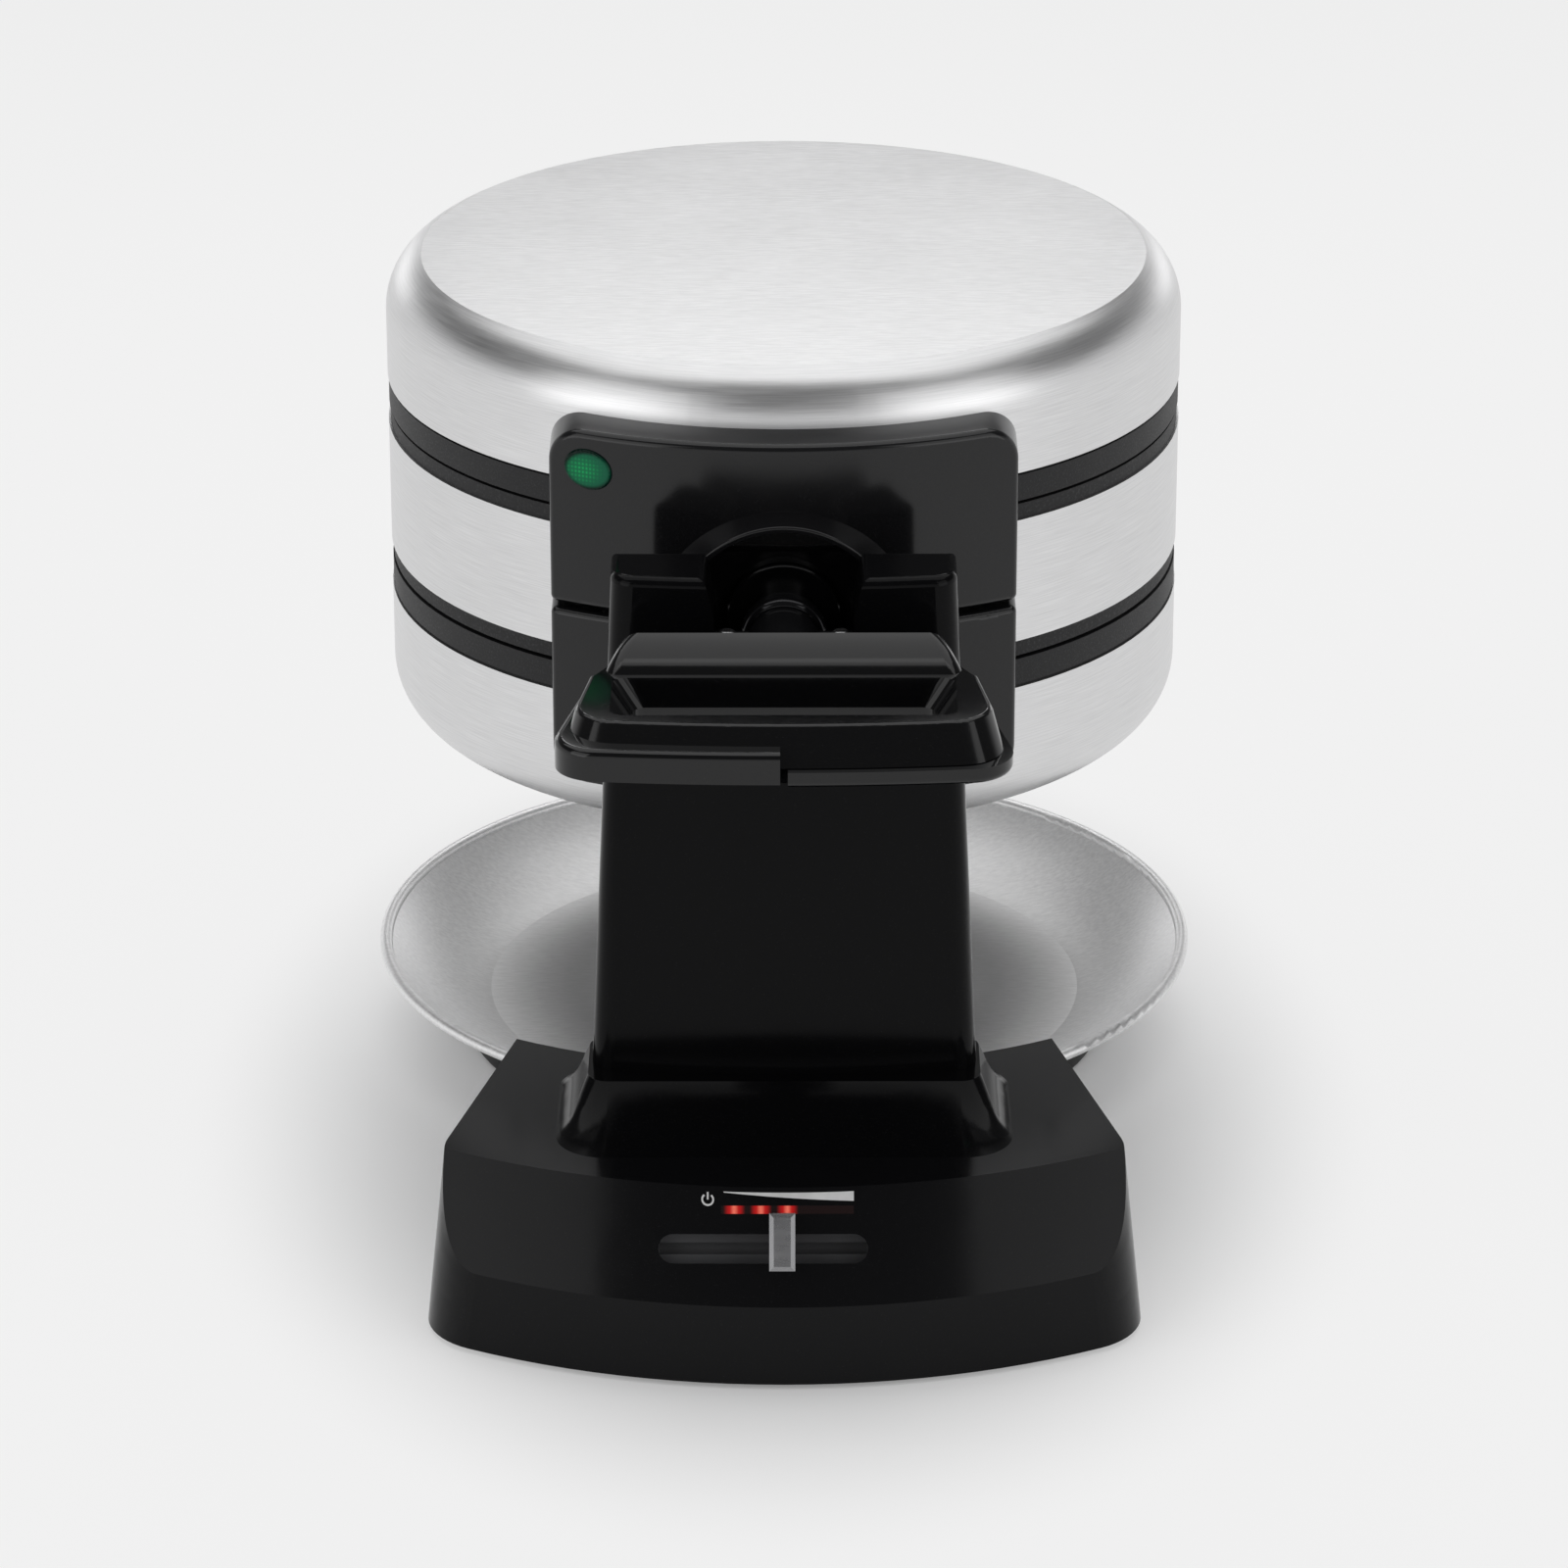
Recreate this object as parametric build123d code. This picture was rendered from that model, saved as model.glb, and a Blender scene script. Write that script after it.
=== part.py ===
from build123d import *
import math
import os

# A double flip waffle maker. Millimetres, Z up, the handle towards -Y.
# The cooker is modelled with its pivot axis (along Y) at height zero and lifted at the end.
# The lower lid is the upper lid turned half a turn about the pivot axis.

# Cooker
PIVOT_Z = 181.0
COOKER_R = 116.2
HALF_HEIGHT = 67.8
LOWER_DEEPER = 3.5
DISC_INSET = 10.5
SHOULDER_SWEEP = 66.0
SHEET = 0.9
CAP_LOW = 32.4
BAND_HALF = 18.2
SEAM_Z = 23.4
SEAM_GAP = 1.0
SHADOW_GAP = 0.8
RING_INSET = 0.3
MIDDLE_RING_INSET = 0.6
SPIGOT_WALL = 3.0
SPIGOT_REACH = 5.6
LEDGE_WALL = 3.0
VENT_ANGLES = (-138.0, -42.0)
VENT_SIZE = (2.4, 5.0, 5.0)

# Cooking plates
RIM_INSET = 13.0
RIM_WIDTH = 11.5
BOWL_DRAFT = 2.0
GRID_WALL = 3.0
RIM_RECESS = 0.3
GRID_DEPTH = 11.2
POST_BASE = 11.0
POST_HEIGHT = 8.6
POST_TAPER = 7.0
POST_PITCH = 19.0
FIRST_POST = 14.0
POST_CLEAR = 1.5
RIB_BASE = 5.0
RIB_TOP = 3.0
RIB_HEIGHT = 8.6
SCREW_INSET = 3.6
SCREW_HEAD_R = 3.0
SCREW_SHANK_R = 1.6
SCREW_HEAD_H = 2.0

# Heating
HEATER_R = 62.0
HEATER_TUBE_R = 3.2
HEATER_OPENING = 24.0
LEAD_CLEAR = 1.0
SHIELD_SHEET = 0.8
SHIELD_MARGIN = 2.0
SHIELD_RISE = 9.0
THERMOSTAT_R = 8.0

# Front plates with their half hubs
PLATE_DEPTH = 14.3
PLATE_HALF_WIDTH = 65.0
PLATE_TOP = 52.7
PLATE_GAP = 1.6
PLATE_CORNER = 10.0
PLATE_SPLIT_CORNER = 2.0
PLATE_WALL = 3.0
PLATE_EDGE = 2.2
PLATE_CLEAR = 0.5
HUB_REACH = 6.5
HUB_FRONT_R = 31.5
HUB_BORE = 30.0
HUB_SLOPE = 0.35
HUB_SOCKET_WALL = 3.0
LENS_X = -54.0
LENS_Z = 42.0
LENS_WIDTH = 14.5
LENS_HEIGHT = 11.5
LENS_TILT = -12.0
LENS_PROUD = 0.9
LENS_DEPTH = 3.6

# Catches between the lids and the centre housing
CATCH_X = 48.0
CATCH_WIDTH = 8.0
STRIKE_REACH = 3.5
STRIKE_HALF = 9.0
LEAF = 0.6
LEAF_CLEAR = 0.3
LEAF_LOW = 4.6
STRIKE_POCKET = 1.0

# Lid hinges
HINGE_SETBACK = 18.8
HINGE_Z = 23.0
KNUCKLE_R = 6.5
PIN_R = 2.5
RUNNING_FIT = 0.08
ARM_HALF = 17.5
EAR_GAP = 0.5
EAR = 6.0
BRACKET_WALL = 3.5
BRACKET_HALF_Z = 16.0
ARM_LOW = 26.0
ARM_TOP = 46.0

# Shaft and its bearing
SHAFT_R = 9.5
SHAFT_BORE = 3.5
HUB_BOSS_R = 16.0
HUB_FLANGE_R = 26.0
HUB_FLANGE_THICK = 4.3
HUB_BOSS_THICK = 3.0
COLLAR_R = 12.0
COLLAR_INSET = 3.5
COLLAR_WIDTH = 8.0
SHOULDER_RING_R = 9.8
JOURNAL_R = 7.5
BUSH_WALL = 1.2
CAP_WALL = 2.4
BEARING_INSET = 5.0
BEARING_WIDTH = 16.5
BEARING_END_GAP = 0.4
BEARING_SCREW_X = 15.6
BEARING_EAR_H = 5.5
BEARING_HEAD_H = 3.5
BEARING_HEAD_ROUND = 2.0
BEARING_SCREW_DEPTH = 10.0
CLIP_R = 10.0
CLIP_THICK = 1.4
STOP_R = 14.5
STOP_GAP = 4.1
STOP_THICK = 4.0
STOP_ARC = 150.0
STOP_SEAT_INSET = 4.0
STOP_SEAT_DROP = 1.0
NUT_R = 11.2
NUT_THICK = 6.0
SQUARE = 11.0

# Column
COLUMN_GAP = 6.0
COLUMN_FOOT_Z = 54.0
COLUMN_TOP_Z = 208.0
COLUMN_HALF_FOOT = 54.0
COLUMN_HALF_TOP = 47.0
COLUMN_DEPTH_FOOT = 28.0
COLUMN_DEPTH_TOP = 23.5
COLUMN_BOW = 3.0
COLUMN_CORNER = 7.0
COLUMN_WALL = 3.0
COLUMN_TOP_ROUND = 2.5
NOTCH_TOP_HALF = 21.5
NOTCH_HALF = 19.0
NOTCH_STEP = 16.0
NOTCH_FLOOR = -15.0
NOTCH_FIT = 0.2
FOOT_HALF = 63.0
FOOT_REACH = 62.0
FOOT_INSET = 3.0
FOOT_RISE = 6.5
FOOT_CORNER = 14.0
FOOT_STEPS = ((0.0, 0.0, 0.0), (0.35, 4.2, 13.0), (0.75, 6.0, 21.0), (1.4, 8.4, 29.5))
COLUMN_SCREWS = ((30.0, 23.0), (57.0, 41.0))
COLUMN_SCREW_LENGTH = 7.5
WIRE_HOLE_HALF = 20.0
WIRE_HOLE_INSET = 7.0
WIRE_HOLE_DEPTH = 16.0
COVER_FIT = 0.2

# Base
BASE_REACH = 95.0
BASE_FRONT_R = 190.0
BASE_HALF_FRONT = 102.5
BASE_HALF_REAR = 63.0
BASE_DEPTH = 183.0
BASE_CORNER = 22.0
BASE_DRAFT_SIDE = 5.5
BASE_DRAFT_FRONT = 2.0
BASE_LIFT = 1.5
BASE_WALL = 3.0
FACET_LOW_Z = 24.0
FACET_RUN = 14.0
FACET_RISE = 30.0
FACET_MID_Z = 39.0
FACET_BACK = 0.6
TRAY_Y = 8.0
BED_R = 98.0
BED_Z = 9.0
TRAY_CLEAR = 3.4
REAR_LOW_Z = 12.0
REAR_SETBACK = 5.0
PLATE_SHEET = 2.0
PLATE_LIFT = 0.5
FLOOR_FIT = 0.2
FOOT_R = 7.0
FRONT_FOOT_X = 74.0
FRONT_FOOT_INSET = 33.0
REAR_FOOT_X = 52.0
REAR_FOOT_SETBACK = 62.0
BASE_SCREWS = ((60.0, 23.0), (76.0, 73.0), (40.0, 118.0))
BASE_SCREW_GROW = 1.4

# Controls on the sloped facet
SLOT_X = -5.8
SLOT_LENGTH = 57.0
SLOT_HALF = 4.0
KNOB_X = -0.6
KNOB_U = 2.0
KNOB_WIDTH = 7.0
KNOB_LENGTH = 15.6
KNOB_HEIGHT = 7.0
KNOB_GAP = 0.8
KNOB_BEVEL = 1.2
STEM_WIDTH = 5.0
STEM_THICK = 2.4
STEM_DEPTH = 9.6
POT_FRONT = 6.6
POT_BACK = 12.0
POT_HALF_HEIGHT = 5.0
POT_MARGIN = 4.0
STEM_CLEAR = 0.4
BOARD_THICK = 1.6
BOARD_HALF_WIDTH = 46.0
BOARD_HALF_HEIGHT = 13.5
STRIP_LENGTH = 36.0
STRIP_HEIGHT = 2.2
STRIP_U = 10.6
STRIP_X = 0.8
LED_COUNT = 5
LED_SIZE = 3.0
BOSS_SIZE = 6.0

# Cord inlet and the block that joins the cord to the wiring
INLET_INSET = 113.0
INLET_Z = 20.0
INLET_R = 6.5
INLET_BORE = 3.6
INLET_FLANGE_R = 8.5
INLET_TIP_X = -86.0
INLET_FLANGE_X = -83.5
INLET_FLANGE_END = -70.0
INLET_END_X = -68.0
TERMINAL_X = -48.0
TERMINAL_SETBACK = 79.0
TERMINAL_LENGTH = 24.0
TERMINAL_DEPTH = 14.0
TERMINAL_TOP = 18.0
TERMINAL_BORE = 2.2
TERMINAL_PITCH = 7.0

# Drip tray
TRAY_R = 123.6
TRAY_RIM_Z = 29.0
TRAY_FLOOR_R = 90.0
TRAY_SHEET = 1.0
TRAY_BEAD_R = 1.9
TRAY_BEND = (0.56, 0.40)

# Handle
NECK_GAP = 11.5
NECK_DEPTH = 12.5
NECK_HALF_BACK = 44.0
NECK_HALF_FRONT = 51.0
NECK_RISE = 16.7
LOOP_HALF_BACK = 52.0
LOOP_HALF_FRONT = 60.5
LOOP_REACH = 42.5
LOOP_FRONT_BOW = 4.0
LOOP_CORNER = 12.0
LOOP_RISE = 9.5
LOOP_DRAFT = 7.0
LOOP_LOW_RISE = 8.0
LOOP_LOW_DRAFT = 9.0
LOOP_SIDE_DRAFT = 4.0
LOOP_ROUND = 1.5
LIP_REACH = 2.4
LIP_ROUND = 2.0
LEFT_SEAM = -3.7
LEFT_LIP_TOP = 4.8
RIGHT_SEAM = -0.2
RIGHT_LIP_LOW = -4.8
LIP_GAP = 2.0
GRIP_INSET = 3.5
GRIP_BAR = 15.5
GRIP_HALF = 40.5
GRIP_HALF_TOP = 46.0
GRIP_MARGIN = 1.5
GRIP_SLOPE_DEPTH = 8.0
HANDLE_SCREW_X = 50.5
HANDLE_SCREW_INSET = 19.0
HANDLE_HEAD_R = 2.4
HANDLE_HEAD_LOW = -7.3
HANDLE_SHANK_LOW = -5.3
HANDLE_SHANK_TOP = 6.0
NECK_SCREW_X = 30.0
NECK_SCREW_INSET = 6.0

# Worked out from the above
FAR = 4 * COOKER_R
DISC_R = COOKER_R - DISC_INSET
RIM_R = COOKER_R - RIM_INSET
FIELD_R = RIM_R - RIM_WIDTH - BOWL_DRAFT
SCREW_CIRCLE = RIM_R - SCREW_INSET
SHIELD_FLAT_R = FIELD_R + SHIELD_MARGIN
LEAD_END_Y = LEAD_CLEAR - SHIELD_FLAT_R
PLATE_R = COOKER_R + PLATE_DEPTH
HUB_FRONT_Y = -PLATE_R - HUB_REACH
HINGE_Y = COOKER_R + HINGE_SETBACK
HUB_FLANGE_Y = -COOKER_R - HUB_FLANGE_THICK
HUB_BOSS_Y = HUB_FLANGE_Y - HUB_BOSS_THICK
COLLAR_BACK_Y = HUB_FRONT_Y + COLLAR_INSET
COLLAR_FRONT_Y = COLLAR_BACK_Y - COLLAR_WIDTH
COLUMN_BACK_Y = HUB_FRONT_Y - COLUMN_GAP
COLUMN_FRONT_TOP = COLUMN_BACK_Y - COLUMN_DEPTH_TOP
COLUMN_FRONT_FOOT = COLUMN_BACK_Y - COLUMN_DEPTH_FOOT
BEARING_BACK_Y = COLUMN_BACK_Y - BEARING_INSET
BEARING_FRONT_Y = BEARING_BACK_Y - BEARING_WIDTH
STOP_BACK_Y = BEARING_FRONT_Y - STOP_GAP
FOOT_FRONT_Y = COLUMN_BACK_Y - FOOT_REACH
FOOT_BACK_Y = COLUMN_BACK_Y - FOOT_INSET
BASE_FRONT_Y = COLUMN_BACK_Y - BASE_REACH
BASE_REAR_Y = BASE_FRONT_Y + BASE_DEPTH
REAR_LOW_R = TRAY_R + TRAY_CLEAR
REAR_TOP_R = TRAY_Y - COLUMN_BACK_Y + REAR_SETBACK
FRONT_FOOT_Y = BASE_FRONT_Y + FRONT_FOOT_INSET
REAR_FOOT_Y = TRAY_Y + REAR_FOOT_SETBACK
INLET_Y = BASE_FRONT_Y + INLET_INSET
TERMINAL_Y = BASE_FRONT_Y + TERMINAL_SETBACK
NECK_BACK_Y = COLUMN_FRONT_TOP - NECK_GAP
NECK_FRONT_Y = NECK_BACK_Y - NECK_DEPTH
LOOP_FRONT_Y = NECK_FRONT_Y - LOOP_REACH
GRIP_BACK_Y = NECK_FRONT_Y - GRIP_INSET
GRIP_FRONT_Y = LOOP_FRONT_Y + GRIP_BAR
HANDLE_SCREW_Y = LOOP_FRONT_Y + HANDLE_SCREW_INSET
NECK_SCREW_Y = NECK_BACK_Y - NECK_SCREW_INSET
SHOULDER_R = (COOKER_R - DISC_R) / (1 - math.cos(math.radians(SHOULDER_SWEEP)))
SHOULDER_Z = HALF_HEIGHT - SHOULDER_R * math.sin(math.radians(SHOULDER_SWEEP))
SKIN_R = COOKER_R - SHEET
LID_FACE = SEAM_Z + SEAM_GAP / 2
MIDDLE_FACE = SEAM_Z - SEAM_GAP / 2
LID_RIM = LID_FACE + RIM_RECESS
MIDDLE_RIM = MIDDLE_FACE - RIM_RECESS
FACET_SLANT = math.hypot(FACET_RUN, FACET_RISE)
FACET_MID_Y = BASE_FRONT_Y + (FACET_MID_Z - FACET_LOW_Z) * FACET_RUN / FACET_RISE + FACET_BACK
KNOB_DOWN = (KNOB_LENGTH / 2 - KNOB_BEVEL - KNOB_U) * FACET_RUN / FACET_SLANT
KNOB_OUT = (KNOB_GAP + KNOB_HEIGHT) * FACET_RISE / FACET_SLANT
FRAME_SHIFT = -(FACET_MID_Y - KNOB_DOWN - KNOB_OUT + HINGE_Y + KNUCKLE_R) / 2
FACET = Plane(
    origin=(0, FACET_MID_Y, FACET_MID_Z),
    x_dir=(1, 0, 0),
    z_dir=(0, -FACET_RISE, FACET_RUN),
)


def block(x0, x1, y0, y1, z0, z1):
    """A box between two corners."""
    return Pos((x0 + x1) / 2, (y0 + y1) / 2, (z0 + z1) / 2) * Box(x1 - x0, y1 - y0, z1 - z0)


def bar_y(radius, y0, y1, x=0.0, z=0.0):
    """A round bar along Y."""
    return Pos(x, (y0 + y1) / 2, z) * Rot(90, 0, 0) * Cylinder(radius, abs(y1 - y0))


def bar_x(radius, x0, x1, y, z):
    """A round bar along X."""
    return Pos((x0 + x1) / 2, y, z) * Rot(0, 90, 0) * Cylinder(radius, abs(x1 - x0))


def bar_z(radius, z0, z1, x=0.0, y=0.0):
    """A round bar along Z."""
    return Pos(x, y, (z0 + z1) / 2) * Cylinder(radius, abs(z1 - z0))


def spun(*points):
    """A closed outline of (radius, height) points turned about the cooker's upright axis."""
    return revolve(Plane.XZ * make_face(Polyline(*points, close=True)), Axis.Z)


def turned_over(shape):
    """The same piece half a turn about the pivot axis."""
    return Rot(0, 180, 0) * shape


def screw_up(x, y, z, length):
    """A screw driven upwards, with its head's face at height z."""
    shank = bar_z(SCREW_SHANK_R, z + SCREW_HEAD_H, z + length, x, y)
    return bar_z(SCREW_HEAD_R, z, z + SCREW_HEAD_H, x, y) + shank


def skin(inset, low, deeper):
    """A cap's solid form: upright wall, rounded shoulder and flat disc."""
    radius = COOKER_R - inset
    bend_z = SHOULDER_Z + deeper
    wall = Line((radius, low), (radius, bend_z))
    bend = CenterArc((COOKER_R - SHOULDER_R, bend_z), SHOULDER_R - inset, 0, SHOULDER_SWEEP)
    top = (bend @ 1).Y
    rest = Polyline(bend @ 1, (0, top), (0, low), (radius, low))
    return revolve(Plane.XZ * make_face([wall, bend, rest]), Axis.Z)


def lid_cap():
    """The brushed steel cap of the upper lid, open below."""
    return skin(0, CAP_LOW, 0) - skin(SHEET, CAP_LOW - 1, 0)


def vented_cap():
    """The lower lid's cap, a little deeper and with vents in its shoulder."""
    cap = skin(0, CAP_LOW, LOWER_DEEPER) - skin(SHEET, CAP_LOW - 1, LOWER_DEEPER)
    radial, across, high = VENT_SIZE
    slot = Pos(DISC_R + radial / 2, 0, HALF_HEIGHT + LOWER_DEEPER - high / 4) * Box(radial, across, high)
    for angle in VENT_ANGLES:
        cap -= Rot(0, 0, angle) * slot
    return cap


def lid_ring():
    """The black ring that closes a lid's edge and carries its cooking plate."""
    ledge = LID_RIM + GRID_WALL
    outer = COOKER_R - RING_INSET
    edge = CAP_LOW - SHADOW_GAP
    spigot = SKIN_R - SPIGOT_WALL
    ring = spun(
        (RIM_R + RIM_RECESS, LID_FACE),
        (outer, LID_FACE),
        (outer, edge),
        (SKIN_R, edge),
        (SKIN_R, CAP_LOW + SPIGOT_REACH),
        (spigot, CAP_LOW + SPIGOT_REACH),
        (spigot, ledge + LEDGE_WALL),
        (FIELD_R + BOWL_DRAFT + 2 * GRID_WALL, ledge + LEDGE_WALL),
        (FIELD_R + BOWL_DRAFT + 2 * GRID_WALL, ledge),
        (RIM_R + RIM_RECESS, ledge),
    )
    return ring - plate_screws(LID_RIM, 1)


def middle_ring():
    """The black ring on the centre housing that carries one of its cooking plates."""
    ledge = MIDDLE_RIM - GRID_WALL
    outer = COOKER_R - MIDDLE_RING_INSET
    spigot = SKIN_R - SPIGOT_WALL
    ring = spun(
        (RIM_R + RIM_RECESS, MIDDLE_FACE),
        (outer, MIDDLE_FACE),
        (outer, BAND_HALF),
        (SKIN_R, BAND_HALF),
        (SKIN_R, BAND_HALF - SPIGOT_REACH),
        (spigot, BAND_HALF - SPIGOT_REACH),
        (spigot, ledge - LEDGE_WALL),
        (FIELD_R + BOWL_DRAFT + 2 * GRID_WALL, ledge - LEDGE_WALL),
        (FIELD_R + BOWL_DRAFT + 2 * GRID_WALL, ledge),
        (RIM_R + RIM_RECESS, ledge),
    )
    return ring - plate_screws(MIDDLE_RIM, -1)


def plate_screws(rim, way):
    """The four screws that hold a cooking plate, their heads flush with its rim."""
    screws = Part()
    for turn in range(4):
        angle = math.radians(45 + 90 * turn)
        x = SCREW_CIRCLE * math.cos(angle)
        y = SCREW_CIRCLE * math.sin(angle)
        head = bar_z(SCREW_HEAD_R, rim, rim + way * SCREW_HEAD_H, x, y)
        screws += head + bar_z(SCREW_SHANK_R, rim, rim + way * (GRID_WALL + LEDGE_WALL), x, y)
    return screws


def post_places():
    """Centres of the square posts in the four quarters of a plate."""
    reach = FIELD_R - POST_CLEAR
    steps = range(int(reach / POST_PITCH) + 1)
    places = [FIRST_POST + POST_PITCH * step for step in steps]
    corner = POST_BASE / 2
    quarter = [(x, y) for x in places for y in places if math.hypot(x + corner, y + corner) < reach]
    return [(sx * x, sy * y) for x, y in quarter for sx in (-1, 1) for sy in (-1, 1)]


def cooking_plate():
    """A cooking plate that faces up, with its rim face at height zero."""
    floor = -GRID_DEPTH
    lip = FIELD_R + BOWL_DRAFT
    bowl = spun(
        (0, floor),
        (FIELD_R, floor),
        (lip, 0),
        (RIM_R, 0),
        (RIM_R, -GRID_WALL),
        (lip + GRID_WALL, -GRID_WALL),
        (FIELD_R + GRID_WALL, floor - GRID_WALL),
        (0, floor - GRID_WALL),
    )
    post = extrude(Rectangle(POST_BASE, POST_BASE), POST_HEIGHT, taper=POST_TAPER)
    section = Polyline(
        (-RIB_BASE / 2, 0),
        (RIB_BASE / 2, 0),
        (RIB_TOP / 2, RIB_HEIGHT),
        (-RIB_TOP / 2, RIB_HEIGHT),
        close=True,
    )
    rib = extrude(Plane.YZ * make_face(section), lip + GRID_WALL / 8, both=True)
    pieces = [Pos(x, y, floor) * post for x, y in post_places()]
    pieces += [Pos(0, 0, floor) * rib, Pos(0, 0, floor) * Rot(0, 0, 90) * rib]
    return bowl + pieces


def lid_plate():
    """The lid's cooking plate, facing down."""
    return Pos(0, 0, LID_RIM) * Rot(180, 0, 0) * cooking_plate() - plate_screws(LID_RIM, 1)


def middle_plate():
    """The centre housing's upper cooking plate, facing up."""
    return Pos(0, 0, MIDDLE_RIM) * cooking_plate() - plate_screws(MIDDLE_RIM, -1)


def heater(height):
    """A tubular element in an open ring, with its two leads towards the hub."""
    tube = Plane.XZ * Pos(HEATER_R, 0) * RegularPolygon(HEATER_TUBE_R, 8, major_radius=False, rotation=22.5)
    ring = revolve(tube, Axis.Z, 360 - HEATER_OPENING)
    loop = Rot(0, 0, -90 + HEATER_OPENING / 2) * ring
    half = math.radians(HEATER_OPENING / 2)
    x = HEATER_R * math.sin(half)
    start = -HEATER_R * math.cos(half) + HEATER_TUBE_R
    for side in (-1, 1):
        loop += bar_y(HEATER_TUBE_R, LEAD_END_Y, start, side * x)
    return Pos(0, 0, height) * loop


def heat_shield():
    """The bright dish between a lid's element and its cap, standing on the ring."""
    foot = CAP_LOW + SPIGOT_REACH
    edge = SKIN_R - SPIGOT_WALL / 4
    knee = SKIN_R - SPIGOT_WALL * 1.5
    top = foot + SHIELD_RISE
    return spun(
        (edge, foot),
        (edge, foot + SHIELD_SHEET),
        (knee, foot + SHIELD_SHEET),
        (SHIELD_FLAT_R, top + SHIELD_SHEET),
        (0, top + SHIELD_SHEET),
        (0, top),
        (SHIELD_FLAT_R, top),
        (knee, foot),
    )


def plate_form(depth, wall):
    """The curved slab of a front plate, cut back by a wall thickness all round."""
    low = PLATE_GAP / 2 + wall
    high = PLATE_TOP - wall
    half = PLATE_HALF_WIDTH - wall
    outline = Polyline((-half, low), (half, low), (half, high), (-half, high), close=True)
    face = make_face(outline)
    upper = face.vertices().sort_by(Axis.Y)[2:]
    face = fillet(upper, PLATE_CORNER - wall)
    lower = face.vertices().sort_by(Axis.Y)[:2]
    face = fillet(lower, PLATE_SPLIT_CORNER)
    slab = extrude(Plane.XZ * face, PLATE_R)
    return slab & bar_z(depth, -1, PLATE_TOP + 1)


def front_plate():
    """A lid's glossy front plate with its half of the hub round the shaft."""
    plate = plate_form(PLATE_R, 0)
    rim = plate.edges().filter_by(lambda e: edge_radius(e) > PLATE_R - 0.01)
    plate = fillet(rim, PLATE_EDGE)
    plate -= plate_form(PLATE_R - PLATE_WALL, PLATE_WALL)
    root_y = -(PLATE_R - 2 * PLATE_WALL)
    root_r = HUB_FRONT_R + HUB_SLOPE * (root_y - HUB_FRONT_Y)
    cone = Cone(root_r, HUB_FRONT_R, root_y - HUB_FRONT_Y)
    hub = Pos(0, (root_y + HUB_FRONT_Y) / 2, 0) * Rot(90, 0, 0) * cone
    hub += bar_y(HUB_BORE + HUB_SOCKET_WALL, root_y - 1, -COOKER_R + 8)
    hub = fillet(hub.edges().sort_by(Axis.Y)[0], (HUB_FRONT_R - HUB_BORE) / 2)
    plate += hub & block(-root_r, root_r, HUB_FRONT_Y, 0, PLATE_GAP / 2, root_r)
    plate -= bar_y(HUB_BORE, HUB_FRONT_Y - 1, 0)
    plate -= bar_z(COOKER_R, CAP_LOW - SHADOW_GAP, PLATE_TOP + 1)
    plate -= bar_z(COOKER_R + PLATE_CLEAR, -1, CAP_LOW - SHADOW_GAP)
    return plate - lens_solid(0) - strike_pockets()


def strike_pockets():
    """The pockets in a front plate's split edge that clear the strikes."""
    pockets = Part()
    deep = COOKER_R + STRIKE_REACH + STRIKE_POCKET
    half = CATCH_WIDTH / 2 + STRIKE_POCKET
    for side in (-1, 1):
        x0 = side * CATCH_X - half
        pockets += bar_z(deep, 0, LEAF_LOW) & block(x0, x0 + 2 * half, -PLATE_R, 0, 0, LEAF_LOW)
    return pockets


def edge_radius(edge):
    """The smallest distance of an edge's ends and middle from the cooker's axis."""
    return min(math.hypot((edge @ t).X, (edge @ t).Y) for t in (0.05, 0.5, 0.95))


def lens_plane():
    """The plane on the front plate's face where its lamp sits."""
    depth = -math.sqrt(PLATE_R**2 - LENS_X**2)
    return Plane(origin=(LENS_X, depth, LENS_Z), x_dir=(-depth, LENS_X, 0), z_dir=(LENS_X, depth, 0))


def lens_solid(proud):
    """The oval of the ready lamp, from inside the plate to its face and past it."""
    oval = Rot(0, 0, LENS_TILT) * Ellipse(LENS_WIDTH / 2, LENS_HEIGHT / 2)
    return lens_plane() * Pos(0, 0, -LENS_DEPTH) * extrude(oval, LENS_DEPTH + LENS_PROUD + proud)


def indicator_lens():
    """The green lens of the ready lamp, with a crowned face."""
    lens = lens_solid(0)
    front = lens_plane()
    top = lens.faces().sort_by(lambda f: -(front.to_local_coords(f).center().Z))[0]
    return fillet(top.edges(), LENS_PROUD * 0.9)


def catch_leaves():
    """The two leaf springs of a lid, which grip the strikes on the centre housing."""
    leaves = Part()
    back = COOKER_R + STRIKE_REACH + LEAF_CLEAR
    ring = COOKER_R - RING_INSET
    top = CAP_LOW - SHADOW_GAP
    for side in (-1, 1):
        middle = side * CATCH_X
        strip = bar_z(back + LEAF, LEAF_LOW, top) - bar_z(back, LEAF_LOW, top)
        foot = bar_z(back + LEAF, LID_FACE + 1, top) - bar_z(ring, LID_FACE + 1, top)
        x0 = middle - CATCH_WIDTH / 2
        leaves += (strip + foot) & block(x0, x0 + CATCH_WIDTH, -PLATE_R, 0, 0, top)
    return leaves


def catch_strikes():
    """The two lugs on the band that the leaf springs grip."""
    strikes = Part()
    for side in (-1, 1):
        x0 = side * CATCH_X - CATCH_WIDTH / 2
        arc = bar_z(COOKER_R + STRIKE_REACH, -STRIKE_HALF, STRIKE_HALF)
        arc -= bar_z(COOKER_R, -STRIKE_HALF, STRIKE_HALF)
        strikes += arc & block(x0, x0 + CATCH_WIDTH, -PLATE_R, 0, -STRIKE_HALF, STRIKE_HALF)
    return strikes


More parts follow.
